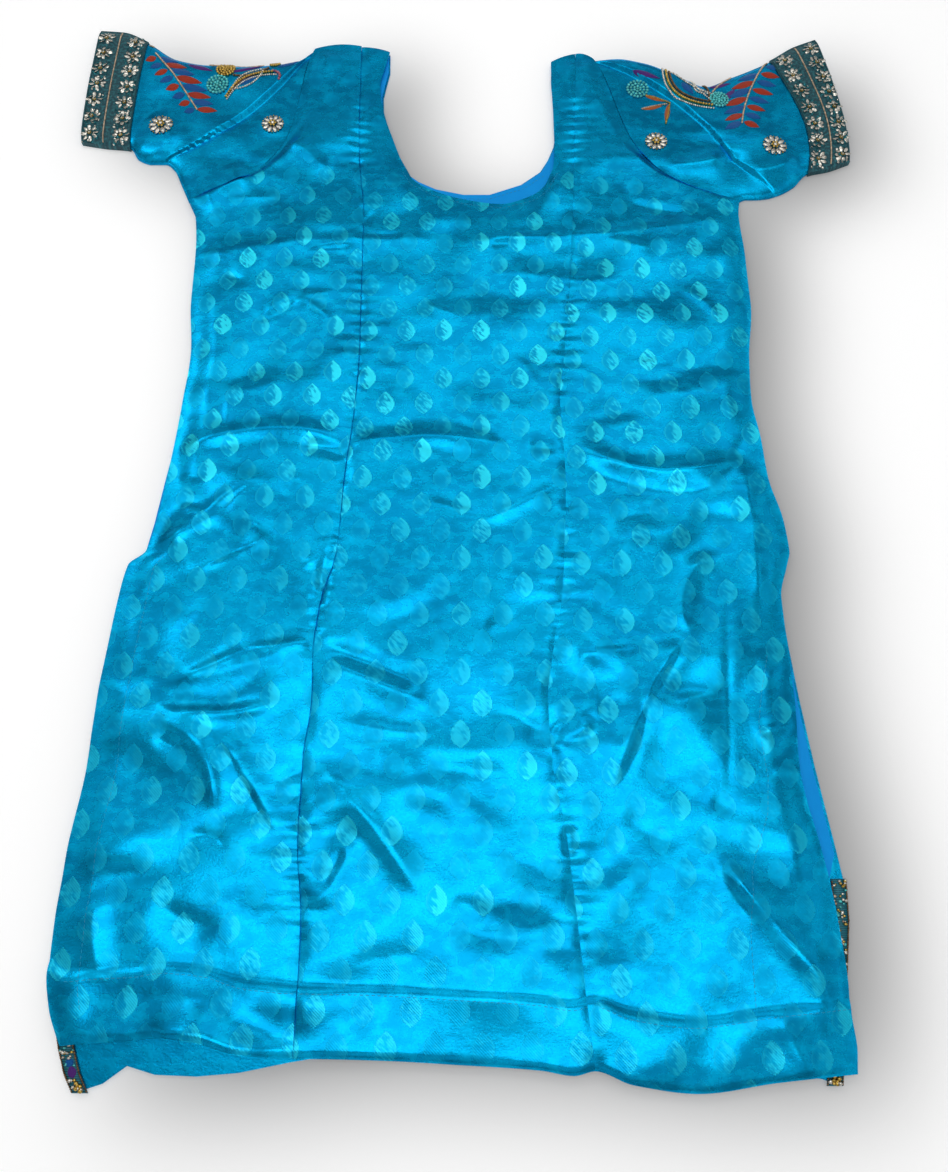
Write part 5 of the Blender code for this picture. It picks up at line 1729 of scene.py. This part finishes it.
for row in CLUSTERS:
    heap = heaps.setdefault((row.side, row.bead), Heap())
    for ring in range(row.rings + 1):
        for k in range(max(1, ring * 6)):
            turn = 2 * math.pi * k / max(1, ring * 6) + 0.4 * ring
            x = row.x + ring * row.first * math.cos(turn)
            y = row.y + ring * row.first * math.sin(turn)
            z, _ = grounds[row.side].at(x, y)
            if z is not None:
                size = row.size * CLUSTER_FULL
                heap.add(SMALL_BEAD, (x, y, z + size * 0.5), (size, size, size * 0.8))
for (side, word), heap in heaps.items():
    place(heap.mesh("beads"), "beads_" + word + ("_left" if side < 0 else "_right"), BEADS[word], "rosette")
print("bead meshes:", len(heaps))

# %% [markdown]
# ## Front and lining
# The front lies face down under the back, and shows where the neck, the slit and the lower hem leave it
# free. It is flat there, so it needs no grid: a filled curve through its outline is enough. Its turned
# hem is plain, with an even painted shade where the back lies over it. The lining is one more outline inside
# it.

# %% Front and lining
def outline_slab(name, points, low, high):
    """A flat outline as a filled curve between two heights, made a mesh with the plan as its UV map."""
    curve = bpy.data.curves.new(name, "CURVE")
    curve.dimensions = "2D"
    curve.fill_mode = "BOTH"
    curve.extrude = (high - low) / 2 * MM
    spline = curve.splines.new("POLY")
    spline.points.add(len(points) - 1)
    for spot, (x, y) in zip(spline.points, points):
        spot.co = ((x - CENTRE_X) * MM, (y - CENTRE_Y) * MM, 0, 1)
    spline.use_cyclic_u = True
    helper = bpy.data.objects.new(name, curve)
    helper.location.z = (low + high) / 2 * MM
    bpy.context.scene.collection.objects.link(helper)
    bpy.context.view_layer.update()
    graph = bpy.context.evaluated_depsgraph_get()
    mesh = bpy.data.meshes.new_from_object(helper.evaluated_get(graph))
    mesh.transform(helper.matrix_world)
    bpy.data.objects.remove(helper)
    bpy.data.curves.remove(curve)
    work = bmesh.new()
    work.from_mesh(mesh)
    bmesh.ops.remove_doubles(work, verts=work.verts, dist=1e-6)
    bmesh.ops.recalc_face_normals(work, faces=work.faces)
    work.to_mesh(mesh)
    work.free()
    add_plan(mesh)
    return mesh


def add_plan(mesh):
    """The plan of a mesh as its cloth map, in millimetres."""
    for layer in list(mesh.uv_layers):
        mesh.uv_layers.remove(layer)
    uv = mesh.uv_layers.new(name="cloth")
    points = np.zeros(len(mesh.vertices) * 3)
    mesh.vertices.foreach_get("co", points)
    index = np.zeros(len(mesh.loops), int)
    mesh.loops.foreach_get("vertex_index", index)
    uv.data.foreach_set("uv", (points.reshape(-1, 3)[:, :2] / MM)[index].ravel())


HEM_TOP = 2.3
LINING_THICK = 1.0
left, right = front_corner(-1), front_corner(1)
lower = left[1:] + hem_line(0) + right[:0:-1]
mesh = outline_slab("front", [right[0]] + front_outline(0, 0, 0) + [left[0]] + lower, 0, FRONT_WALL)
place(mesh, "front_satin", SATIN, "satin", "front")
hem_turn = [(x + 0.25, y + 0.25) for x, y in left] + hem_line(0.25)
hem_turn += [(x - 0.25, y + 0.25) for x, y in right[::-1]] + hem_line(HEM_TURN)[::-1]
# The turned hem gets the satin with an even painted shade.
place(outline_slab("hem", hem_turn, FRONT_WALL, HEM_TOP), "front_turned_hem", SATIN_HEM_SHADED, "satin")

points = front_outline(1, 1.2, 3.0)
end = hem_line(HEM_TURN + LINING_CLEAR)
clear = BEAD_WIDE + BEAD_CLEAR
first, last = end[0][1], end[-1][1] + 0.5
points += [(front_edge(-1, first) + clear, first)] + end + [(front_edge(1, last) - clear, last)]
mesh = outline_slab("lining", points, LINING_LOW, LINING_LOW + LINING_THICK)
front_lining = place(mesh, "front_lining_cloth", LINING, "lining", "front_lining")
print("front, its hem and its lining made")

# %% [markdown]
# ## Slit borders
# The slit edges of the front are bound with a narrow dark strip that is sewn full of beads. Only their
# lower ends show, beside the hem's corners. The strip is a stack of bent sections made a tube, and its
# beads stand in rows along it, so each row is one path for the tree above.

# %% Slit borders
STRIP_TOP = 1.0
STRIP_OVER = 1.5
STRIP_FROM = -318.0
STRIP_ROWS = 42
CLUSTER_PITCH = 8.5
CLUSTER_BEADS = 9
CLUSTER_HALF = (4.2, 3.1)
CLUSTER_SIZES = (0.9, 1.6)
CLUSTER_FINISHES = [("silver", 0.42), ("gold", 0.72), ("champagne", 0.9), ("cyan", 1.0)]
GAP_BEADS = 3
CORNER_BEADS = 14
CORNER_SIZE = 8.0
CORNER_THREAD = 11.0

strip_shader = Shader("slit_strip", 0.5, 0.2)
u, v = strip_shader.cloth_place()
weft = (v * (2 * math.pi / 1.4)).maths("SINE") * 0.5 + 0.5
strip_shader.colour(strip_shader.blend(weft, (0.01, 0.10, 0.15), (0.02, 0.22, 0.28)))
strip_shader.bump(weft, 0.3)


def strip_top(side, y):
    """Height of the strip's upper side, which steps up where the hem is turned."""
    turn = front_corner(side)[0][1] + 2
    return FRONT_WALL + SEAM_GAP + STRIP_TOP + ramp(turn + 2, turn, y)


for side, word in ((-1, "left"), (1, "right")):
    corner = front_corner(side)
    y = np.concatenate([np.linspace(STRIP_FROM, corner[0][1], STRIP_ROWS), [p[1] for p in corner[1:]]])
    edge = np.array([front_edge(side, stop) for stop in y])
    high = strip_top(side, y)
    inner, near, outer = edge - side * BEAD_WIDE, edge + side * SEAM_GAP, edge + side * STRIP_OVER
    section = [(outer, high * 0), (outer, high), (inner, high), (inner, high - STRIP_TOP),
               (near, high - STRIP_TOP), (near, high * 0)]
    mesh = tube_mesh("strip", np.stack([np.stack([x, y, z], axis=-1) for x, z in section], axis=1))
    close_ends(mesh)
    strip = place(mesh, "slit_border_" + word, strip_shader.mat, "bead_border", "front_border_" + word)
    stops = np.arange(corner[-1][1] + 1, STRIP_FROM, 2.0)
    for name, out in (("outer", STRIP_OVER - 0.3), ("inner", 0.4 - BEAD_WIDE)):
        path = [(front_edge(side, stop) + side * out, stop, float(strip_top(side, stop))) for stop in stops]
        along_paths("slit_cord_" + name + "_" + word, [path], BRONZE, "bead_border", 1.5, (1.9, 1.3), 0.15)
    dice = np.random.default_rng(60 + side)
    heaps = {name: Heap() for name, _ in CLUSTER_FINISHES}
    for middle in np.arange(STRIP_FROM - 4, corner[-1][1] + CORNER_SIZE + CORNER_THREAD, -CLUSTER_PITCH):
        for k in range(CLUSTER_BEADS + GAP_BEADS):
            far = CLUSTER_PITCH / 2 if k >= CLUSTER_BEADS else 0.0
            y = float(middle - far + CLUSTER_HALF[1] * dice.uniform(-1, 1) * (0.5 if far else 1))
            across = STRIP_OVER - (BEAD_WIDE + STRIP_OVER) / 2 + CLUSTER_HALF[0] * dice.uniform(-1, 1)
            size = dice.uniform(*CLUSTER_SIZES) * (0.7 if far else 1)
            draw = dice.random()
            finish = "cyan" if far else next(name for name, top in CLUSTER_FINISHES if draw <= top)
            spot = (front_edge(side, y) + side * across, y, float(strip_top(side, y)) + 0.4 * size)
            heaps[finish].add(SMALL_BEAD, spot, (size, size * dice.uniform(0.7, 1.0), size * 0.8))
    tip_y = corner[-1][1]
    strip_ground = Ground(strip)
    for word_of, low, high in (("purple", 8.5, 15.5), ("blue", 14.5, 20.0)):
        store = {"verts": [], "faces": [], "plan": []}
        x1, x2 = (front_edge(side, tip_y + far) - side * 3.6 for far in (low, high))
        leaf(store, strip_ground, x1, tip_y + low, x2, tip_y + high, 5.4)
        leaf_piece(store, "slit_thread_" + word_of + "_" + word, THREADS[word_of])
    for k in range(CORNER_BEADS):
        share, slide = math.sqrt(dice.random()), dice.uniform(0, 1)
        y = tip_y + 1.2 + CORNER_SIZE * (1 - share) * 0.9
        x = front_edge(side, y) - side * (0.5 + CORNER_SIZE * slide * (0.35 + 0.6 * share))
        size = dice.uniform(1.1, 1.7)
        spot = (x, y, float(strip_top(side, y)) + 0.5 * size)
        heaps["gold" if k % 3 else "silver"].add(SMALL_BEAD, spot, (size, size, size * 0.8))
    for name, heap in heaps.items():
        place(heap.mesh("beads"), "slit_beads_" + name + "_" + word, BEADS[name], "bead_border")
print("slit borders: 2")

# %% [markdown]
# ## Stitches
# The hems are turned and sewn down, the slit edges too, and the neck is understitched. A machine stitch
# is a short length of thread that dips into the cloth at both ends, so each one is a small long bead
# that lies half sunk in the satin.

# %% Stitches
STITCH_LONG = 2.9
STITCH_THICK = 0.45
STITCH_PITCH = 3.7
HEM_STITCH = 37.0
thread_shader = Shader("sewing_thread", 0.5, 0.0, 0.2)
u, v = thread_shader.object_place()
twist = ((u + v) * (2 * math.pi / 0.5)).maths("SINE") * 0.5 + 0.5
thread_shader.colour(thread_shader.blend(twist, (0.0, 0.20, 0.38), (0.0, 0.34, 0.58)))
SLIT_RIGHT = [(218, -166), (212, -190), (207, -215), (210, -252), (207, -276), (199, -296), (192, -314),
              (188, -352), (187, -396)]
SLIT_LEFT_IN = 21.0


PANELS = {"left": "back_side_left_satin", "centre": "back_centre_satin", "right": "back_side_right_satin"}
panels = {word: Ground(bpy.data.objects[name]) for word, name in PANELS.items()}
hem = [(x, lookup(HEMS, "x", "back", x) + HEM_STITCH) for x in np.linspace(-250, 250, 101)]
left_slit = [(lookup(SIDES, "y", "back_left", y) + SLIT_LEFT_IN, y) for y in np.linspace(-396, -90, 40)]
foot = SEAMS[0]
rows = [draped(panels["left"], [p for p in hem if p[0] < foot.left]),
        draped(panels["centre"], [p for p in hem if foot.left < p[0] < foot.right]),
        draped(panels["right"], [p for p in hem if p[0] > foot.right]),
        draped(panels["left"], left_slit),
        draped(panels["right"], SLIT_RIGHT),
        draped(panels["centre"], [(row.x * 1.05, row.back - 5.0) for row in BACK_ROUND])]
size = (STITCH_LONG, STITCH_THICK)
along_paths("stitches_back", [row for row in rows if len(row) > 1], thread_shader.mat, "satin",
            STITCH_PITCH, size)
lining_ground = Ground(front_lining)
rows = [draped(lining_ground, [(row.x * 1.04, row.back - 5.5) for row in FRONT_ROUND])]
along_paths("stitches_lining", [row for row in rows if len(row) > 1], thread_shader.mat, "lining",
            STITCH_PITCH, size)

# %% [markdown]
# ## Cloth cut
# A table gives the size that each piece of cloth was cut to. A panel's cut is the rectangle that its outline
# fits in, with the area inside the outline beside it. A sleeve is cut flat and sewn into a tube, so its
# width is its whole girth.

# %% Cloth cut
BACK_UNDER = ["front_satin", "front_lining_cloth"]
Cut = namedtuple("Cut", "piece wide long area rests_on sewn_on")
CUTS = [
    Cut("back_centre_satin", 0.215, 0.860, 0.128, BACK_UNDER, ["stitches_back"]),
    Cut("back_side_left_satin", 0.182, 0.850, 0.110, BACK_UNDER, []),
    Cut("back_side_right_satin", 0.188, 0.860, 0.120, BACK_UNDER, []),
    Cut("front_satin", 0.512, 0.870, 0.354, [], []),
    Cut("front_turned_hem", 0.500, 0.038, 0.0190, ["front_satin"], []),
    Cut("front_lining_cloth", 0.505, 0.822, 0.329, ["front_satin"], ["stitches_lining"]),
    Cut("sleeve_left_satin", 0.330, 0.190, 0.0500, [], []),
    Cut("sleeve_right_satin", 0.340, 0.195, 0.0535, [], []),
    Cut("sleeve_border_left_ribbon", 0.270, 0.046, 0.0122, ["sleeve_left_satin"], []),
    Cut("sleeve_border_right_ribbon", 0.260, 0.046, 0.0118, ["sleeve_right_satin"], []),
    Cut("slit_border_left", 0.014, 0.127, 0.0017, ["front_satin"], []),
    Cut("slit_border_right", 0.014, 0.123, 0.0016, ["front_satin"], []),
]


def cloth_area(piece):
    """Half of a closed thin shell's surface, in square metres."""
    return sum(face.area for face in piece.data.polygons) / 2


for cut in CUTS:
    piece = bpy.data.objects[cut.piece]
    print(cut.piece, "measures", round(cloth_area(piece), 4), "square metres, cut", cut.area)


# %% [markdown]
# ## Camera
# The garment is seen from its hem side, 20 degrees from straight above. Camera tracking could find such
# a view from marked points. Here the garment's known size gave it by trial: the place, the tilt and the
# focal length were changed until all four ends of the garment met the frame as they should.

# %% Camera
CAMERA_TILT = 20.3
CAMERA_AT = (9.3, -357.5, 674.0)
CAMERA_LENS = 29.80
CAMERA_SENSOR = 36
lens = bpy.data.cameras.new("camera")
lens.lens = CAMERA_LENS
lens.sensor_width = CAMERA_SENSOR
camera = bpy.data.objects.new("camera", lens)
camera.location = [c * MM for c in CAMERA_AT]
camera.rotation_euler = (math.radians(CAMERA_TILT), 0, 0)
bpy.context.scene.collection.objects.link(camera)
bpy.context.scene.camera = camera
print("camera:", CAMERA_LENS, "mm, tilted", CAMERA_TILT, "degrees")

# %% [markdown]
# ## Light
# Satin shows what it mirrors. Large soft lamps stand for a ceiling and a window, and a room of uneven
# brightness gives the cloth its bright and deep patches. A panorama of a real room could do that, but it
# needs a file. The camera itself sees the room as plain white.

# %% Light
bpy.context.scene.view_settings.view_transform = "Standard"
Light = namedtuple("Light", "name x y z wide tall power colour")
LIGHTS = [
    Light("ceiling_near", 0, -250, 1500, 1300, 700, 5.2, (1.0, 1.0, 1.0)),
    Light("ceiling_far", 100, 950, 1500, 1300, 600, 2.6, (1.0, 1.0, 1.0)),
    Light("window", -1100, 900, 1500, 500, 500, 2.0, (1.0, 1.0, 1.0)),
]
for row in LIGHTS:
    data = bpy.data.lights.new(row.name, "AREA")
    data.shape = "RECTANGLE"
    data.size = row.wide * MM
    data.size_y = row.tall * MM
    data.energy = row.power
    data.color = row.colour
    lamp = bpy.data.objects.new(row.name, data)
    lamp.location = (row.x * MM, row.y * MM, row.z * MM)
    lamp.rotation_euler = (-lamp.location).to_track_quat("-Z", "Y").to_euler()
    bpy.context.scene.collection.objects.link(lamp)
PATCH_EDGE = (0.46, 0.54)
PATCH_BRIGHT = 0.64
PATCH_DARK = 0.13
CEILING_MORE = 0.5
WALL_LIGHT = 0.62
world = bpy.data.worlds.new("room")
world.use_nodes = True
room = Tree(world.node_tree.nodes, world.node_tree.links)
toward = room.node("ShaderNodeTexCoord").outputs["Generated"]
cloud = room.node("ShaderNodeTexNoise", {}, {"Vector": toward, "Scale": 5.0, "Detail": 1.0})
split = room.node("ShaderNodeSeparateXYZ", {}, {0: toward})
patch = Wire(room, cloud.outputs[0]).step(*PATCH_EDGE) * PATCH_BRIGHT + PATCH_DARK
high = Wire(room, split.outputs[2]).step(0.1, 0.9) * CEILING_MORE + WALL_LIGHT
background = room.nodes["Background"]
background.inputs["Color"].default_value = (1.0, 1.0, 1.0, 1.0)
seen = Wire(room, room.node("ShaderNodeLightPath").outputs["Is Camera Ray"])
room.links.new((seen + (1 - seen) * patch * high).socket, background.inputs["Strength"])
bpy.context.scene.world = world
print("lamps:", len(LIGHTS))

# %% [markdown]
# ## Floor
# White, with the soft grey shade that the photo has to the right of the garment and below it. The
# shade is the garment's own outline, moved, blurred and kept as an attribute of the floor's points.

# %% Floor
SHADE_STEP = 6.0
SHADE_BLUR = 36.0
SHADE_SHIFT = (34.0, -16.0)
SHADE_DEPTH = 0.79
FLOOR_GLOW = 0.35
FLOOR_HALF = 780.0
FLOOR_REACH = 9000.0
FLOOR_LOW = -0.2


def inside_outline(x, y, outline):
    """Which points lie inside a closed outline."""
    inside = np.zeros(x.shape, bool)
    for (x1, y1), (x2, y2) in zip(outline, outline[1:] + outline[:1]):
        crosses = (y1 > y) != (y2 > y)
        inside ^= crosses & (x < (x2 - x1) * (y - y1) / ((y2 - y1) or 1e-9) + x1)
    return inside


def garment_mask(x, y):
    mask = inside_outline(x, y, [right[0]] + front_outline(0, 0, 0) + [left[0]] + lower)
    for side in (-1, 1):
        stops = np.linspace(0, 8, 33)
        upper = [tuple(float(c) for c in sleeve_point(side, s, 0.0)) for s in stops]
        under = [tuple(float(c) for c in sleeve_point(side, s, 1.0)) for s in stops]
        mask |= inside_outline(x, y, upper + under[::-1])
    return mask


axis = np.arange(-FLOOR_HALF, FLOOR_HALF + 1, SHADE_STEP)
x, y = np.meshgrid(axis, axis)
mask = garment_mask(x - SHADE_SHIFT[0], y - SHADE_SHIFT[1]).astype(float)
waves = np.fft.fftfreq(len(axis), SHADE_STEP)
soft = np.exp(-2 * (math.pi * SHADE_BLUR) ** 2 * (waves[:, None] ** 2 + waves[None, :] ** 2))
shade = np.real(np.fft.ifft2(np.fft.fft2(mask) * soft))
shade = np.pad(shade, 1)
x, y = np.meshgrid(*[np.concatenate([[-FLOOR_REACH], axis, [FLOOR_REACH]])] * 2)
floor_mesh = grid_mesh("floor", x, y, np.full(x.shape, FLOOR_LOW))
tone = floor_mesh.attributes.new("shade", "FLOAT", "POINT")
tone.data.foreach_set("value", 1 - SHADE_DEPTH * shade.ravel())
floor_shader = Shader("floor_white", 0.9)
tone = floor_shader.attribute("shade")
floor_shader.colour(floor_shader.blend(tone, (0.0, 0.0, 0.0), (0.9, 0.9, 0.9)))
glow = floor_shader.blend(tone, (0.0, 0.0, 0.0), (1.0, 1.0, 1.0))
floor_shader.links.new(glow, floor_shader.bsdf.inputs["Emission Color"])
floor_shader.bsdf.inputs["Emission Strength"].default_value = FLOOR_GLOW
floor_shader.bsdf.inputs["Specular IOR Level"].default_value = 0.0
floor_mesh.materials.append(floor_shader.mat)
floor = bpy.data.objects.new("floor", floor_mesh)
bpy.context.scene.collection.objects.link(floor)
print("floor points:", len(floor_mesh.vertices))
